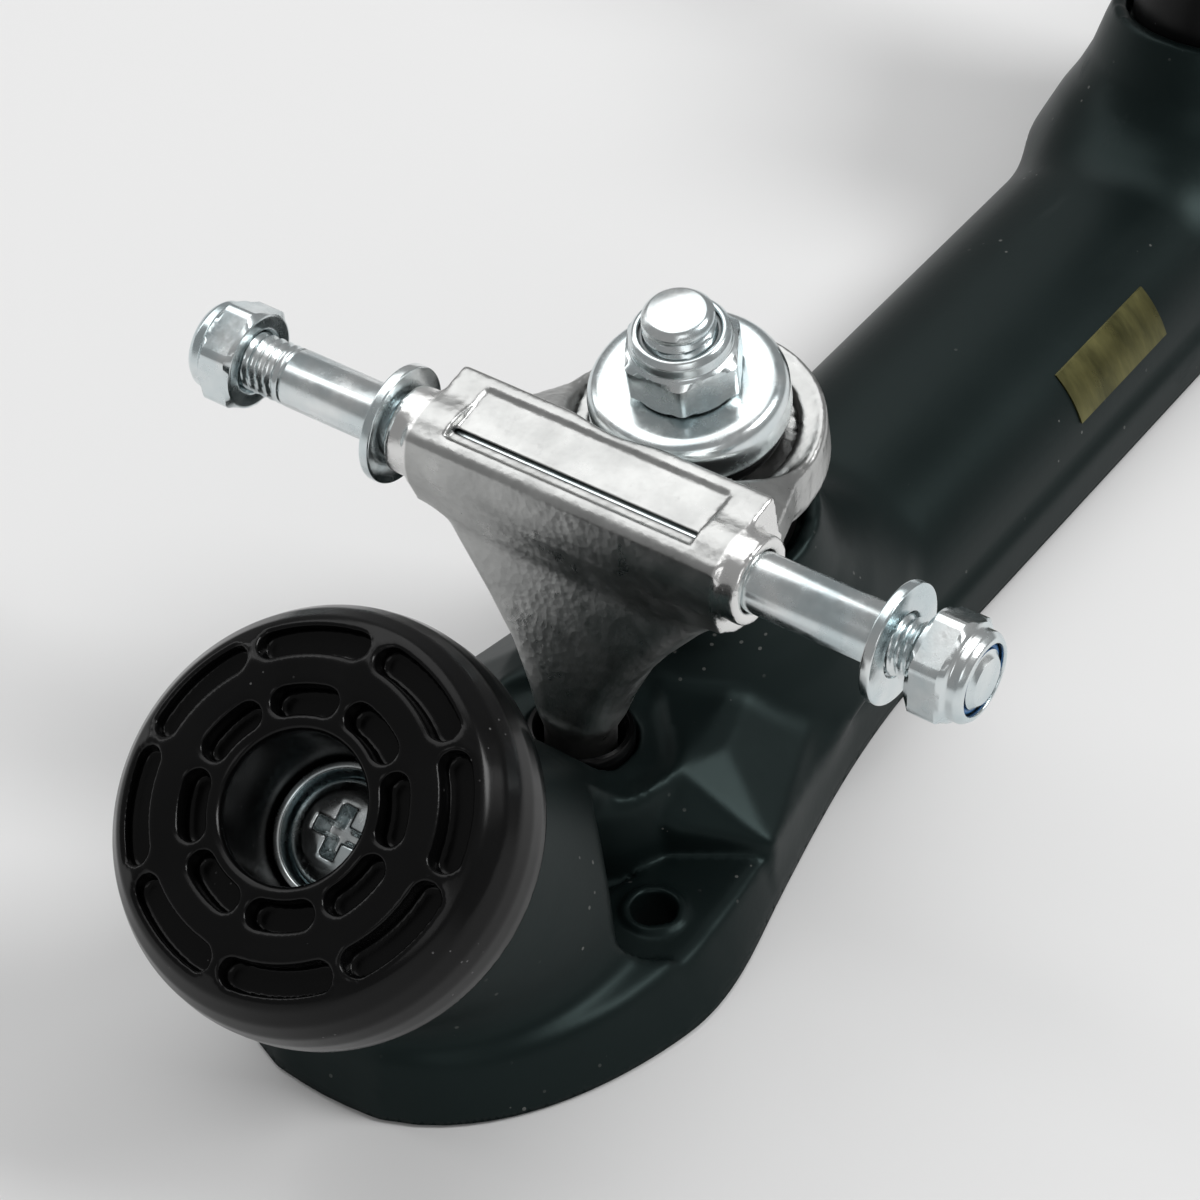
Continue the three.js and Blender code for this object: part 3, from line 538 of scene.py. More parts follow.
def foil():
    material, n = new_material("blank_foil", Metallic=0.75)
    creases = n.noise(260, 4, 0.6, n.stretched((1.0, 0.3, 0.3)))
    n.colour(n.mix(n.ramp(creases, 0.3, 0.7), (0.045, 0.045, 0.014, 1), (0.15, 0.14, 0.05, 1)))
    n.roughness(n.ramp(n.noise(200, 4), 0.3, 0.7, 0.24, 0.4))
    n.bump(creases, 0.4, 0.0002)
    return material


NYLON = nylon()
ALUMINIUM = cast_aluminium()
ZINC = zinc_steel()
STOP_RUBBER = rubber("toe_stop_rubber", 0.0016, 0.16, 0.26)
CUSHION_RUBBER = rubber("cushion_rubber", 0.004, 0.35, 0.5)
BLUE_RING = lock_ring("blue_lock_ring", (0.02, 0.10, 0.30, 1), (0.05, 0.22, 0.50, 1))
GREY_RING = lock_ring("grey_lock_ring", (0.36, 0.39, 0.40, 1), (0.55, 0.58, 0.58, 1))
FOIL = foil()

# ---------------------------------------------------------------- sole plate
SPINE_HALF = 21.8
WALL = 3.2
NOSE_CENTRE, NOSE_LENGTH, NOSE_HALF, NOSE_POWER, NOSE_CORNER = FX + 1.8, 56.3, 34, 2.17, 4
NOSE_TAPER, NOSE_TAPER_LENGTH = FX - 46, 63
HEEL_CENTRE, HEEL_LENGTH, HEEL_HALF, HEEL_POWER = RX - 6, 29.5, 24.4, 1.95
HEEL_TAPER_LENGTH = 46
RIB_HALF, RIB_PITCH, CENTRE_PAD_HALF = 1.2, 33, 7
FRONT_FLOOR, CORNER_FLOOR, REAR_FLOOR = 7.4, 5.8, 6.0
FRONT_COVER, REAR_COVER = 4.2, 3.6                  # how low the hollow stays under the pockets
HOLE_RADIUS, COLLAR_RADIUS, COLLAR_HEIGHT = 3.0, 4.2, 0.8
KINGPIN_CORE, PIVOT_CORE, STOP_CORE, HOLE_CORE = 13.5, 11, 11, 6.6
THROUGH = 70                                        # reaches past the sole from any tilted line
CUP_BORE = 7.5
PLATE_STEP = 0.65
ROW_AVERAGE = 9                                     # grid steps that a change along the plate is spread over


def superellipse(offset, length, half, power):
    share = np.clip(np.abs(offset) / length, 0, 1)
    return half * (1 - share ** power) ** (1 / power)


def half_width(x):
    """Half the plate's width at the sole, by position along it."""
    nose = superellipse(np.maximum(x - NOSE_CENTRE, 0), NOSE_LENGTH, NOSE_HALF, NOSE_POWER)
    share = np.clip((x - NOSE_TAPER) / NOSE_TAPER_LENGTH, 0, None)
    taper = SPINE_HALF + (NOSE_HALF - SPINE_HALF) * share ** 1.5
    heel = superellipse(x - HEEL_CENTRE, HEEL_LENGTH, HEEL_HALF, HEEL_POWER)
    ease = np.clip((x - HEEL_CENTRE) / HEEL_TAPER_LENGTH, 0, 1)
    ease = ease * ease * (3 - 2 * ease)
    waist = HEEL_HALF + (SPINE_HALF - HEEL_HALF) * ease
    out = np.where(x < HEEL_CENTRE + HEEL_TAPER_LENGTH, waist, join(nose, taper, NOSE_CORNER))
    return np.where(x < HEEL_CENTRE, heel, out)


# Position along the plate from the nearer axle (toe or heel), skirt height, crown height, roundness.
NOSE_ROWS = [(58, 6.5, 6.6, 2.0), (57, 7.7, 9, 2.0), (54.5, 8.5, 11, 2.0), (50.5, 8.5, 13, 2.0),
             (45, 8.5, 15, 1.9), (37, 8.5, 16.5, 1.6), (28, 8.5, 17, 1.5), (17, 8.5, 17.5, 1.5),
             (7, 8.5, 17.5, 1.4), (-4, 8.5, 17.5, 1.3), (-14, 8.3, 18.5, 1.3), (-24, 7.5, 20.5, 1.6),
             (-34, 6.5, 21.5, 2.1), (-46, 5.5, 22, 2.4)]
HEEL_ROWS = [(-35.5, 7.5, 7.8, 2.0), (-33, 8.5, 11, 2.0), (-29, 9, 14.8, 2.4), (-23, 9.5, 17, 2.6),
             (-14, 10, 17.6, 2.6), (-2, 10, 17.8, 2.4), (5, 8.5, 17.8, 2.0), (12, 6, 18, 1.8),
             (22, 5.5, 19.5, 2.0), (34, 5.5, 21.5, 2.2), (46, 5.5, 22, 2.4)]


def plate_rows(x):
    """Skirt height, crown height and roundness along the plate, with their corners averaged away."""
    rows = sorted([(FX + r[0], *r[1:]) for r in NOSE_ROWS] + [(RX + r[0], *r[1:]) for r in HEEL_ROWS])
    table = np.array(rows)
    out = []
    for column in range(1, 4):
        raw = np.interp(x, table[:, 0], table[:, column])
        padded = np.pad(raw, ROW_AVERAGE // 2, mode="edge")
        even = np.ones(ROW_AVERAGE) / ROW_AVERAGE
        out.append(np.convolve(padded, even, mode="valid").astype(np.float32))
    return out


# How far the skirt leans in for each millimetre of height, by position from the front axle.
DRAFT = [(-40, 0.13), (-10, 0.2), (0, 0.3), (12, 0.55), (20, 0.6), (30, 0.45), (45, 0.33), (58, 0.25)]


def plate_body(grid):
    """The moulded body without its bosses, open downwards."""
    x = grid.x[:, 0, 0]
    draft = np.interp(grid.x - np.float32(FX), *zip(*DRAFT)).astype(np.float32)
    half = half_width(x.astype(float)).astype(np.float32)
    skirt, crown, power = (v[:, None, None] for v in plate_rows(x.astype(float)))
    edge = [(float(a), float(b)) for a, b in zip(x[::3], half[::3]) if b > 0.3]
    heel_tip, toe_tip = (edge[0][0] - 0.15, 0.0), (edge[-1][0] + 0.3, 0.0)
    outline = [heel_tip] + edge + [toe_tip] + [(a, -b) for a, b in edge[::-1]]
    plan = polygon(outline, grid.x, grid.y)
    lean = (plan + draft * grid.z) / np.sqrt(1 + draft * draft)
    skirt_field = meet(lean, grid.z - skirt, 1.3)
    across = np.maximum(half[:, None, None] - 0.5 - draft * skirt, 1.5)
    rise = np.maximum(crown - 1.0, 2.0)
    lift = np.maximum(grid.z - 1.0, 0)
    ratio = (np.abs(grid.y) / across) ** power + (lift / rise) ** power
    crown_field = (ratio ** (1 / power) - 1) * np.minimum(across, rise) * 0.9
    crown_field = meet(crown_field, lean + 0.6, 1.0)
    return join(skirt_field, crown_field, 2.2), plan


def kingpin_boss(grid, place):
    u, v, w = grid.local(place)
    profile = [(0, -38), (23.5, -38), (20.8, -30.5), (18.8, -26.5), (17.2, -22.5), (15.9, -17), (15, -13.9),
               (0, -13.9)]
    return turned(profile, u, v, w)


def wing(grid, side):
    corners = [(-0.5, 14.3, 18), (-8, 17, 17), (-21, 21.6, 12), (-29, 22, 8.6), (-34, 10, 19.5), (-12, 4, 19),
               (-3, 27.4, 8.8), (5, 16, 12)]
    corners += [(-3, 10, 0), (-3, 27.4, 0), (5, 16, 0), (-29, 22, 0), (-34, 10, 0)]
    return hull_field([(FX + a, b * side, c) for a, b, c in corners], grid)


FRONT_POCKET = [(12.8, 10.1), (16.4, 12.9), (21.2, 17.8), (24.6, 21.8), (19, 28), (18, 40), (-3, 40),
                (-3.4, 28), (4.9, 15.6)]
POCKET_CORNER = [(13.2, 9.6), (14.6, 12.6), (5, 16), (3, 14), (8.4, 11.2)]
REAR_POCKET = [(-7, 13), (-5, 21.5), (3, 21.8), (14, 20), (26, 19.4), (20, 16.5), (12, 13.5), (4, 11.5)]
# The boot-bolt holes: place along and across the plate, and the height of the pocket's floor.
HOLES = [(x, y * side, floor) for x, y, floor in ((FX + 14, 20.3, FRONT_FLOOR), (RX + 1, 16.5, REAR_FLOOR))
         for side in (1, -1)]


def pivot_mound(grid, place):
    u, v, w = grid.local(place @ Matrix.Translation((PIVOT_X, 0, -AXLE_Z)))
    profile = [(0, 0), (16.6, 0), (15.9, 10), (14.8, 16.6), (14, 18), (11, 17.3), (0, 17.3)]
    return turned(profile, u, v, w)


def stop_cone(grid, plan):
    """The cone behind the toe stop, kept inside the plate's outline."""
    profile = [(0, -72), (24, -66), (21.6, -48), (20, -36), (18.8, -25), (18.2, -18.6), (17, -17.4),
               (0, -17.4)]
    return meet(turned(profile, *grid.local(STOP)), plan + 1.4, 2)


def pocketed(whole, grid):
    """The shape with its open pockets cut in."""
    for side in (1, -1):
        for outline, axle_x, floor, soft in ((FRONT_POCKET, FX, FRONT_FLOOR, 1.0),
                                             (POCKET_CORNER, FX, CORNER_FLOOR, 0.7),
                                             (REAR_POCKET, RX, REAR_FLOOR, 1.2)):
            plan = polygon([(axle_x + a, b * side) for a, b in outline], grid.x, grid.y)
            whole = cut(whole, np.maximum(plan, floor - grid.z), soft)
    return whole


def underside(body, grid):
    """The hollow underside, which leaves ribs, cores round the fasteners and floors under the pockets."""
    keep = np.abs(grid.y) - RIB_HALF
    for count in range(-3, 5):
        thick = CENTRE_PAD_HALF if count == 0 else RIB_HALF
        keep = np.minimum(keep, np.abs(grid.x - RIB_PITCH * count) - thick)
    for place in TRUCKS.values():
        u, v, w = grid.local(place @ KINGPIN)
        keep = np.minimum(keep, rod(KINGPIN_CORE, -THROUGH, -10, u, v, w))
        a, b, c = grid.local(place @ Matrix.Translation((PIVOT_X, 0, -AXLE_Z)))
        keep = np.minimum(keep, rod(PIVOT_CORE, -5, 30, a, b, c))
    u, v, w = grid.local(STOP)
    keep = np.minimum(keep, rod(STOP_CORE, -THROUGH, -18, u, v, w))
    for x, y, _ in HOLES:
        keep = np.minimum(keep, rod(HOLE_CORE, -5, 30, grid.x - x, grid.y - y, grid.z))
    hollow = np.maximum(body + WALL, -keep)
    for side in (1, -1):
        for low, high, inner, top in ((FX - 8, FX + 28, 5, FRONT_COVER), (RX - 9, RX + 28, 9, REAR_COVER)):
            floor = np.maximum(np.maximum(low - grid.x, grid.x - high), inner - side * grid.y)
            hollow = np.maximum(hollow, -np.maximum(floor, top - grid.z))
    return hollow


def bored(whole, grid):
    """The shape with its bores, cups and seats cut in."""
    for place in TRUCKS.values():
        u, v, w = grid.local(place @ KINGPIN)
        whole = cut(whole, rod(12.8, -16.7, 30, u, v, w), 0.9)
        whole = np.maximum(whole, -rod(5.05, -THROUGH, 0, u, v, w))
        whole = np.maximum(whole, -rod(8.6, -THROUGH, -41.2, u, v, w))
        a, b, c = grid.local(place @ Matrix.Translation((PIVOT_X, 0, 0)))
        ball = np.sqrt(a * a + b * b + (c - PIVOT_Z) ** 2) - CUP_BORE
        whole = np.maximum(whole, -np.minimum(ball, rod(CUP_BORE, PIVOT_Z, 0, a, b, c)))
    u, v, w = grid.local(STOP)
    whole = np.maximum(whole, -rod(12.8, -24.3, 0, u, v, w))
    whole = np.maximum(whole, -rod(4.2, -90, 0, u, v, w))
    whole = np.maximum(whole, -rod(8.0, -90, -35.7, u, v, w))
    for x, y, _ in HOLES:
        whole = np.maximum(whole, -rod(HOLE_RADIUS, -5, 30, grid.x - x, grid.y - y, grid.z))
    return whole


def sole_plate():
    # The sole plane lies midway between two layers of the grid.
    grid = Grid((-137, -36, -1.5 * PLATE_STEP), (159, 36, 53), PLATE_STEP)
    body, plan = plate_body(grid)
    whole = body
    for place in TRUCKS.values():
        whole = join(whole, kingpin_boss(grid, place @ KINGPIN), 7)
    for side in (1, -1):
        whole = join(whole, wing(grid, side), 1.6)
    whole = join(whole, stop_cone(grid, plan), 5)
    whole = pocketed(whole, grid)
    for place in TRUCKS.values():
        whole = join(whole, pivot_mound(grid, place), 1.2)
    for x, y, floor in HOLES:
        a, b = grid.x - x, grid.y - y
        collar = rod(COLLAR_RADIUS, floor - 1, floor + COLLAR_HEIGHT, a, b, grid.z)
        whole = join(whole, np.maximum(collar, -rod(HOLE_RADIUS, -5, 30, a, b, grid.z)), 0.8)
    whole = cut(whole, underside(body, grid), 0.8)
    whole = bored(whole, grid)
    verts, faces = surface(np.maximum(whole, -grid.z), grid, 2)
    flat_base(verts, faces, whole, grid)
    piece("sole_plate_shape", verts, faces, Matrix.Identity(4), NYLON, "plate", "sole_plate")


sole_plate()


# ---------------------------------------------------------------- hangers
# The beam's section in x and z about the axle.
BEAM = [(5.6, 3.4), (4.9, 4.2), (-7.4, 6.6), (-8.2, 6.2), (-9.8, -1.2), (-9.6, -5.8), (-7.2, -9.2),
        (-3.6, -10.6), (0.2, -9.9), (3.6, -7.6), (5.4, -3.6)]
PANEL_HALF_WIDTH, PANEL_HALF_LENGTH, PANEL_DEPTH = 4.6, 18.4, 0.55
RING_WEB, RING_EDGE = 1.3, 3.6                      # half thicknesses of the ring's web and of its rim
# The arm down to the pivot: height, half width, back edge and front edge.
ARM = [(-41, 3.6, -3.6, 4.4), (-36, 4.9, -4.2, 5.2), (-34, 5.8, -4.5, 5.3), (-30, 7.0, -5.2, 5.2),
       (-24, 9.6, -6.4, 4.8), (-18, 13.6, -8.0, 4.4), (-11, 19.4, -9.4, 3.6), (-4, 22.5, -9.6, 3.4)]


def beam_panel(grid):
    """The shallow panel sunk into the beam's tilted top face."""
    (front_x, front_z), (back_x, back_z) = BEAM[1], BEAM[2]
    slope = math.atan2(back_z - front_z, front_x - back_x)
    x, z = grid.x - (front_x + back_x) / 2, grid.z - (front_z + back_z) / 2
    across = x * math.cos(slope) - z * math.sin(slope)
    above = x * math.sin(slope) + z * math.cos(slope)
    panel = np.maximum(np.abs(across) - PANEL_HALF_WIDTH, np.abs(grid.y) - PANEL_HALF_LENGTH)
    return np.maximum(panel, -PANEL_DEPTH - above)


def hanger_mesh():
    grid = Grid((-46, -29, -48), (8, 29, 9), 0.4)
    beam = np.maximum(polygon(BEAM, grid.x, grid.z), np.abs(grid.y) - 23.35)
    table = np.array(ARM)
    z = grid.z[0, 0]
    half, back, front = (np.interp(z, table[:, 0], table[:, k]).astype(np.float32) for k in (1, 2, 3))
    arm = meet(np.abs(grid.y) - half, np.maximum(grid.x - front, back - grid.x), 4.5)
    arm = meet(arm, np.maximum(-36.6 - grid.z, grid.z + 4), 2.5)
    whole = join(beam, arm, 2.5)
    neck_points = [(-25, 16.8, -9.6), (-25, 16.8, -4.2), (-8.8, 22.6, -6.4), (-8.8, 22.6, -1.4),
                   (-8.4, 12, -13), (-8.4, 12, 2), (-21, 12, -11.6)]
    neck = hull_field([(a, s * b, c) for a, b, c in neck_points for s in (1, -1)], grid)
    u, v, w = grid.local(KINGPIN)
    outer = turned([(0, -RING_EDGE), (16.8, -RING_EDGE), (17.3, -3), (17.3, 3), (16.8, RING_EDGE),
                    (0, RING_EDGE)], u, v, w)
    whole = join(whole, join(neck, outer, 2.0), 1.8)
    whole = cut(whole, rod(16.4, -24, -RING_EDGE, u, v, w), 0.8)
    whole = cut(whole, rod(15.6, RING_EDGE, 24, u, v, w), 1.2)
    whole = cut(whole, rod(13.5, RING_WEB, 24, u, v, w), 0.8)
    whole = cut(whole, rod(13.5, -24, -RING_WEB, u, v, w), 0.8)
    whole = np.maximum(whole, -rod(7.6, -24, 24, u, v, w))
    collar = rod(5.9, -26.6, 26.6, grid.x, grid.z, grid.y)
    whole = join(whole, collar, 0.8)
    pin = np.sqrt((grid.x - PIVOT_X) ** 2 + grid.y ** 2 + (np.maximum(PIVOT_Z - grid.z, 0)) ** 2) - 4.8
    whole = join(whole, np.maximum(pin, grid.z + 34), 1.2)
    whole = cut(whole, beam_panel(grid), 0.4)
    whole = np.maximum(whole, -rod(4.25, -60, 60, grid.x, grid.z, grid.y))
    return surface(whole, grid)


hanger_verts, hanger_faces = hanger_mesh()
for end, place in TRUCKS.items():
    piece(f"{end}_hanger_shape", hanger_verts, hanger_faces, place, ALUMINIUM, f"{end}_truck",
          f"{end}_hanger")


# ---------------------------------------------------------------- truck hardware
AXLE_TIP, THREAD_START, THREAD_RADIUS = 58.5, 45, 3.95
KINGPIN_RADIUS = 4.75


def lock_nut(name, across, low, hex_top, top, bore, matrix, body, node):
    flat = across / 2
    corner = across / math.sqrt(3)
    profile = [(bore, low + 0.7), (bore + 0.6, low), (flat - 0.2, low), (corner, low + 0.9),
               (corner, hex_top - 0.9), (flat - 0.1, hex_top), (flat - 0.5, hex_top + 0.3),
               (flat - 0.5, top - 0.9), (flat - 1.1, top - 0.1), (flat - 1.7, top), (flat - 1.8, top - 0.5),
               (flat - 1.2, top - 1.2), (flat - 1.2, hex_top + 0.3), (bore, hex_top + 0.3)]
    lathe(name, profile, matrix, ZINC, body, node, 0.25, 96, True, flats(across))


def lock_insert(name, across, hex_top, top, bore, matrix, body, node, material):
    profile = [(bore, hex_top + 0.6), (across / 2 - 1.5, hex_top + 0.6), (across / 2 - 1.5, top - 1.3),
               (across / 2 - 2.0, top - 0.7), (bore, top - 0.7)]
    lathe(name, profile, matrix, material, body, node, 0.3, 48, True)


def axle(end, place):
    sideways = place @ Matrix.Rotation(-math.pi / 2, 4, "X")
    verts, faces = bolt_mesh([
        ("ring", 0, -AXLE_TIP), ("ring", 3.1, -AXLE_TIP), ("ring", 3.7, 0.6 - AXLE_TIP),
        ("thread", THREAD_RADIUS, 0.7 - AXLE_TIP, -THREAD_START, 1.25, 0.5),
        ("ring", 3.7, 0.2 - THREAD_START), ("ring", 3.98, 0.6 - THREAD_START),
        ("ring", 3.98, THREAD_START - 0.6), ("ring", 3.7, THREAD_START - 0.2),
        ("thread", THREAD_RADIUS, THREAD_START, AXLE_TIP - 0.7, 1.25, 0.5),
        ("ring", 3.7, AXLE_TIP - 0.6), ("ring", 3.1, AXLE_TIP), ("ring", 0, AXLE_TIP),
    ])
    piece(f"{end}_axle_shape", verts, faces, sideways, ZINC, f"{end}_truck", f"{end}_axle", 40)


def kingpin(end, line):
    verts, faces = bolt_mesh([
        ("ring", 0, -47.5), ("ring", 6.6, -47.5), ("ring", 8, -46.6), ("ring", 8, -42.2),
        ("ring", 7.2, -41.5),
        ("ring", KINGPIN_RADIUS, -41.5), ("ring", KINGPIN_RADIUS, 10),
        ("thread", KINGPIN_RADIUS, 10.2, 23.9, 1.5, 0.6), ("ring", 4.1, 24.6), ("ring", 3.7, 24.8),
        ("ring", 0, 24.8),
    ])
    verts = trimmed(verts, -41.4, flats(14))
    piece(f"{end}_kingpin_shape", verts, faces, line, ZINC, "plate", f"{end}_kingpin", 40)


def cup_washer(end, line):
    profile = [(5.05, 10.9), (10.6, 10.9), (11.5, 9.9), (11.5, 6.2), (13.1, 6.2), (13.1, 10.6), (12.3, 12.0),
               (10.8, 12.5), (5.05, 12.5)]
    lathe(f"{end}_cup_washer_shape", profile, line, ZINC, "plate", f"{end}_cup_washer", 0.9, 96,
          True)


def cushions(end, line):
    upper = [(5.2, 2.2), (11.4, 2.9), (12, 3.6), (12.0, 4.8), (11.3, 6.0), (11.2, 9.2), (10.0, 10.6),
             (5.2, 10.6)]
    lower = [(5.2, -16.4), (11.2, -16.4), (12, -15.4), (12, -4.4), (11.4, -3.0), (5.2, -2.2)]
    for kind, profile in (("upper", upper), ("lower", lower)):
        lathe(f"{end}_{kind}_cushion_shape", profile, line, CUSHION_RUBBER, "plate", f"{end}_{kind}_cushion",
              0.6, 96, True)


def quarter(radius):
    """A quarter circle about the pivot's ball centre, from the lowest point out to the side."""
    turn = np.linspace(-math.pi / 2, 0, 10)
    return [(radius * math.cos(a), PIVOT_Z + radius * math.sin(a)) for a in turn]


def pivot_cup(end, place):
    outside, inside = quarter(7.2), quarter(5.25)[::-1]
    lip = [(7.2, -38), (6.9, -37.5), (6.4, -37.4), (6.1, -37.7), (5.7, -39)]
    rings = [(0, outside[0][1])] + outside[1:] + lip + inside[:-1] + [(0, inside[-1][1])]
    verts, faces = spun(rings, 64)
    piece(f"{end}_pivot_cup_shape", verts, faces, place @ Matrix.Translation((PIVOT_X, 0, 0)), STOP_RUBBER,
          "plate", f"{end}_pivot_cup", 40)


def axle_side(end, side, outward, ring_material):
    """The lock nut, its ring and the loose washer on one end of an axle."""
    lock_nut(f"{end}_axle_nut_{side}_shape", 13, 50.6, 55.8, 58.2, THREAD_RADIUS, outward, f"{end}_truck",
             f"{end}_axle_nut_{side}")
    lock_insert(f"{end}_nut_insert_{side}_shape", 13, 55.8, 58.2, THREAD_RADIUS, outward, f"{end}_truck",
                f"{end}_nut_insert_{side}", ring_material)
    at = abs(middle(f"{end}_axle_washer_{side}").y) / MM
    ring = [(4.35, at - 0.75), (8, at - 0.75), (8, at + 0.75), (4.35, at + 0.75)]
    lathe(f"{end}_axle_washer_{side}_shape", ring, outward, ZINC, f"{end}_{side}_washer",
          f"{end}_axle_washer_{side}", 0.3, 72, True)


def truck_hardware(end, place):
    line = place @ KINGPIN
    axle(end, place)
    kingpin(end, line)
    lock_nut(f"{end}_kingpin_nut_shape", 14.3, 12.8, 18.9, 21.5, 4.9, line, "plate", f"{end}_kingpin_nut")
    lock_insert(f"{end}_kingpin_insert_shape", 14.3, 18.9, 21.5, 4.85, line, "plate",
                f"{end}_kingpin_nut_insert", GREY_RING)
    cup_washer(end, line)
    cushions(end, line)
    pivot_cup(end, place)
    ring_material, ring_slot = (BLUE_RING, "nylon_blue") if end == "front" else (GREY_RING, "nylon_grey")
    for side, way in (("left", 1), ("right", -1)):
        outward = Matrix.Translation(place.to_translation()) @ Matrix.Rotation(-math.pi / 2 * way, 4, "X")
        axle_side(end, side, outward, ring_material)


for end, place in TRUCKS.items():
    truck_hardware(end, place)


# ---------------------------------------------------------------- toe stop
def arc_slot(u, v, radius, half, angle, span):
    """Distance to a round-ended slot that follows a circle."""
    turn = np.arctan2(v, u) - angle
    turn = (turn + math.pi) % (2 * math.pi) - math.pi
    turn = turn - np.clip(turn, -span, span)
    r = np.sqrt(u * u + v * v)
    return np.sqrt(np.maximum(r * r + radius * radius - 2 * r * radius * np.cos(turn), 0)) - half


def toe_stop():
    grid = Grid((-28, -28, -25.5), (28, 28, 1.5), 0.36)
    u, v, w = grid.x, grid.y, grid.z
    profile = [(0, -24), (12.5, -24), (12.5, -16.6), (23.6, -16.6), (25.6, -15.9), (26.5, -14.4),
               (26.7, -12.4), (26.7, -9.6), (26.3, -6.9), (25.3, -4.4), (23.7, -2.2), (21.6, -0.8),
               (19, -0.1), (0, 0)]
    whole = turned(profile, u, v, w)
    whole = cut(whole, rod(9.3, -19.6, 5, u, v, w), 1.4)
    whole = np.maximum(whole, -rod(4.2, -30, 0, u, v, w))
    slots = np.inf
    for count in range(8):
        angle = (count + 0.5) * math.pi / 4
        for radius, span in ((20.45, 0.27), (13.0, 0.2)):
            slots = np.minimum(slots, arc_slot(u, v, radius, 1.75, angle, span))
    whole = cut(whole, np.maximum(slots, -3.4 - w), 0.7)
    verts, faces = surface(whole, grid)
    piece("toe_stop_shape", verts, faces, STOP, STOP_RUBBER, "plate", "toe_stop")


toe_stop()


def toe_stop_bolt():
    grid = Grid((-8, -8, -46.6), (8, 8, -12.6), 0.25)
    u, v, w = grid.x, grid.y, grid.z
    profile = [(0, -17.7), (7.2, -17.7), (7.2, -16), (6.6, -14.8), (5, -13.9), (3, -13.5), (0, -13.4)]
    head = turned(profile, u, v, w)
    shank = rod(3.9, -46, -17, u, v, w)
    ridge = np.abs(((w / 1.25 - np.arctan2(v, u) / (2 * math.pi)) % 1) * 2 - 1)
    thread = shank + 0.45 * ridge * (w < -20)
    whole = np.minimum(head, thread)
    taper = 0.5 * (w + 13.5)
    cross = np.minimum(np.maximum(np.abs(u) - 1.0 - taper * 0.3, np.abs(v) - 3.6 - taper),
                       np.maximum(np.abs(v) - 1.0 - taper * 0.3, np.abs(u) - 3.6 - taper))
    whole = cut(whole, np.maximum(cross, -16.2 - w), 0.3)
    verts, faces = surface(whole, grid)
    piece("toe_stop_bolt_shape", verts, faces, STOP, ZINC, "plate", "toe_stop_bolt")


toe_stop_bolt()
lathe("toe_stop_cup_shape", [(4.2, -19.3), (9.0, -19.3), (9.0, -14.2), (7.9, -14.2), (7.6, -17.2),
                             (6.8, -18.0), (4.2, -18.0)],
      STOP, ZINC, "plate", "toe_stop_cup_washer", 0.4, 72, True)
lathe("toe_stop_nut_shape", [(4.2, -42.5), (6.3, -42.5), (7.5, -41.6), (7.5, -36.9), (6.3, -36), (4.2, -36)],
      STOP, ZINC, "plate", "toe_stop_nut", 0.25, 96, True, flats(13))


# ---------------------------------------------------------------- label
def label():
    low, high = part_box("blank_label")
    verts, faces = [], []
    rows, columns = 12, 30
    for layer in (0.0, 0.28):
        for row in range(rows + 1):
            share = row / rows
            z = low.z / MM + 0.25 + (high.z - low.z) / MM * share * 0.93
            arch = max(1 - (max(z - 1.0, 0) / 21.0) ** 2.4, 0) ** (1 / 2.4)
            y = min(20.2 * arch + 0.35 + layer, high.y / MM)
            for column in range(columns + 1):
                x = (low.x + (high.x - low.x) * column / columns) / MM
                verts.append((x, y, z))
    per = (rows + 1) * (columns + 1)
    width = columns + 1
    for row in range(rows):
        for column in range(columns):
            a = row * width + column
            faces.append((a, a + width, a + width + 1, a + 1))
            faces.append((per + a, per + a + 1, per + a + width + 1, per + a + width))
    rim = (list(range(columns)) + [columns + row * width for row in range(rows)]
           + [rows * width + columns - column for column in range(columns)]
           + [(rows - row) * width for row in range(rows)])
    for a, b in zip(rim, rim[1:] + rim[:1]):
        faces.append((a, b, per + b, per + a))
    piece("blank_label_shape", verts, faces, Matrix.Identity(4), FOIL, "plate", "blank_label", 40)


label()


# ---------------------------------------------------------------- stage, light and camera
def floor():
    mesh = bpy.data.meshes.new("floor")
    reach = 6.0
    mesh.from_pydata([(-reach, -reach, 0), (reach, -reach, 0), (reach, reach, 0), (-reach, reach, 0)], [],
                     [(0, 1, 2, 3)])
    material, n = new_material("pale_floor")
    n.shader.inputs["Specular IOR Level"].default_value = 0.1
    n.colour(n.mix(n.noise(3, 2), (0.80, 0.80, 0.80, 1), (0.82, 0.82, 0.82, 1)))
    n.roughness(n.ramp(n.noise(5, 2), 0.3, 0.7, 0.85, 0.95))
    mesh.materials.append(material)
    made = bpy.data.objects.new("floor", mesh)
    made.location.z = -0.0005
    bpy.context.scene.collection.objects.link(made)


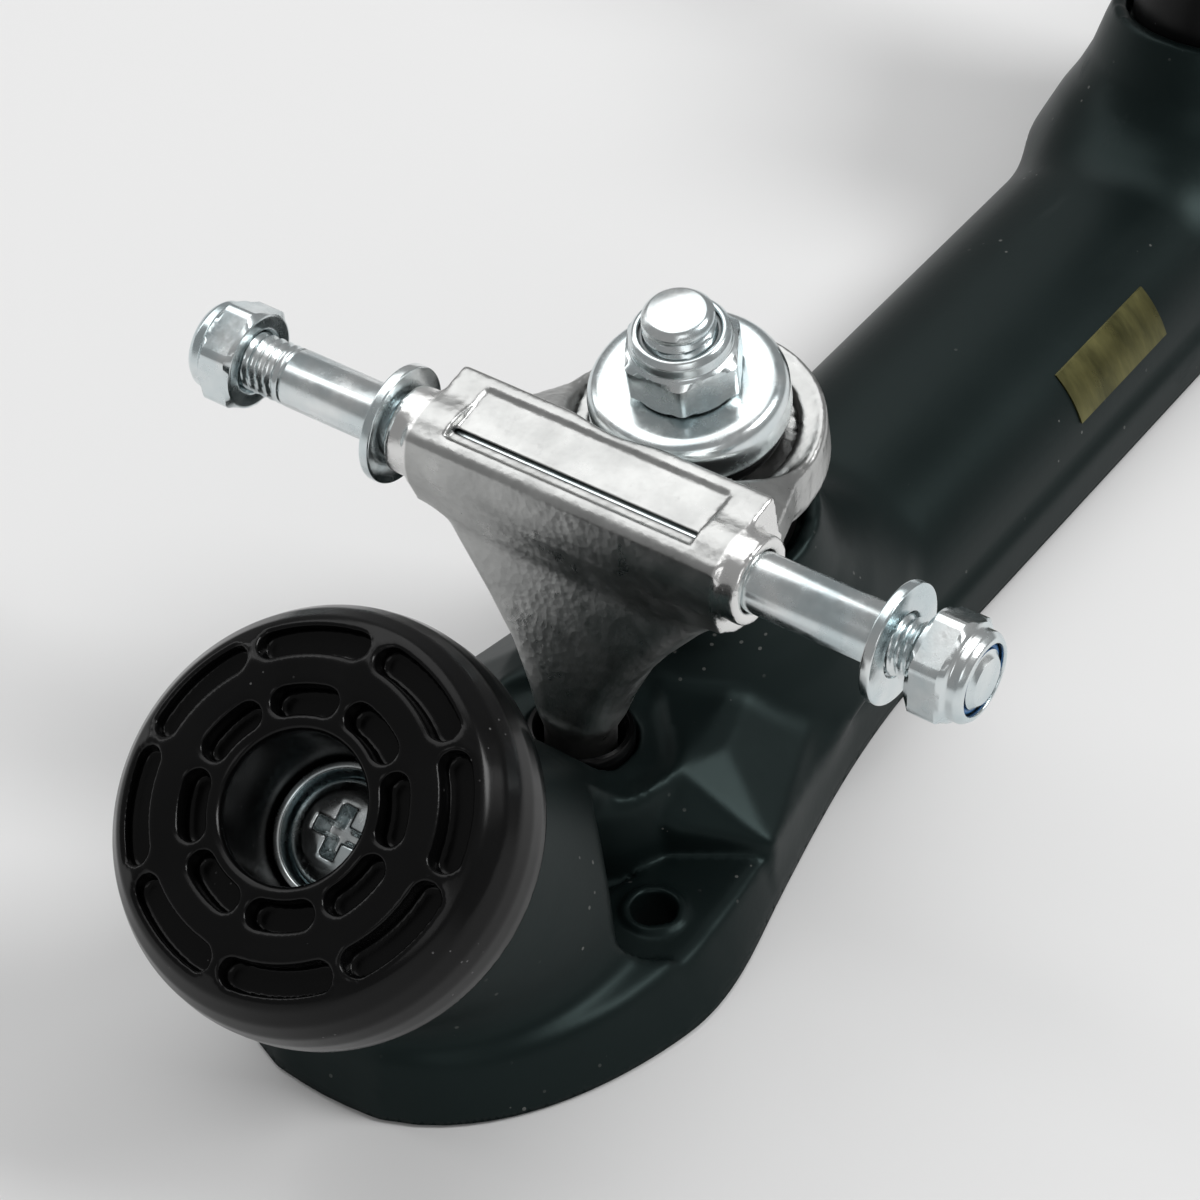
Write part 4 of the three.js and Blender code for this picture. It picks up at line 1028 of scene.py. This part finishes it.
def lamp(name, where, target, size, power, tall=None):
    light = bpy.data.lights.new(name, "AREA")
    light.shape = "RECTANGLE"
    light.size = size
    light.size_y = tall or size
    light.energy = power
    made = bpy.data.objects.new(name, light)
    made.location = where
    aim = Vector(target) - Vector(where)
    made.rotation_euler = aim.to_track_quat("-Z", "Y").to_euler()
    bpy.context.scene.collection.objects.link(made)


floor()
lamp("overhead", (-0.3, -0.5, 1.3), (0.03, 0, 0.02), 1.3, 9)
lamp("key", (-0.45, 1.0, 1.15), (0.03, 0, 0.02), 0.6, 12)
lamp("left_strip", (0.2, -1.1, 0.75), (0.08, 0, 0.04), 0.3, 2, 1.1)
lamp("front_fill", (1.2, 0.9, 0.9), (0.08, 0, 0.04), 0.7, 2)
world = bpy.data.worlds.new("studio")
world.use_nodes = True
world.node_tree.nodes["Background"].inputs["Color"].default_value = (1, 1, 1, 1)
world.node_tree.nodes["Background"].inputs["Strength"].default_value = 0.3
bpy.context.scene.world = world
bpy.context.scene.view_settings.view_transform = "Standard"


def camera():
    """The main view, from the front axle's middle: direction, roll, distance and offsets in millimetres."""
    azimuth, elevation, roll = math.radians(34.75), math.radians(41.78), math.radians(-0.54)
    distance, right_shift, up_shift = 535.1, -2.30, 12.04
    lens, sensor = 128.97, 36.0
    toward = Vector((math.cos(elevation) * math.cos(azimuth), math.cos(elevation) * math.sin(azimuth),
                     math.sin(elevation)))
    right = Vector((-math.sin(azimuth), math.cos(azimuth), 0))
    up = toward.cross(right)
    side = right * math.cos(roll) + up * math.sin(roll)
    above = up * math.cos(roll) - right * math.sin(roll)
    where = FRONT_AXLE - side * right_shift - above * up_shift + toward * distance
    data = bpy.data.cameras.new("camera")
    data.sensor_width = sensor
    data.lens = lens
    data.clip_start, data.clip_end = 0.01, 50
    made = bpy.data.objects.new("camera", data)
    turn = Matrix((side, above, toward)).transposed().to_4x4()
    made.matrix_world = Matrix.Translation(where * MM) @ turn
    bpy.context.scene.collection.objects.link(made)
    bpy.context.scene.camera = made


camera()
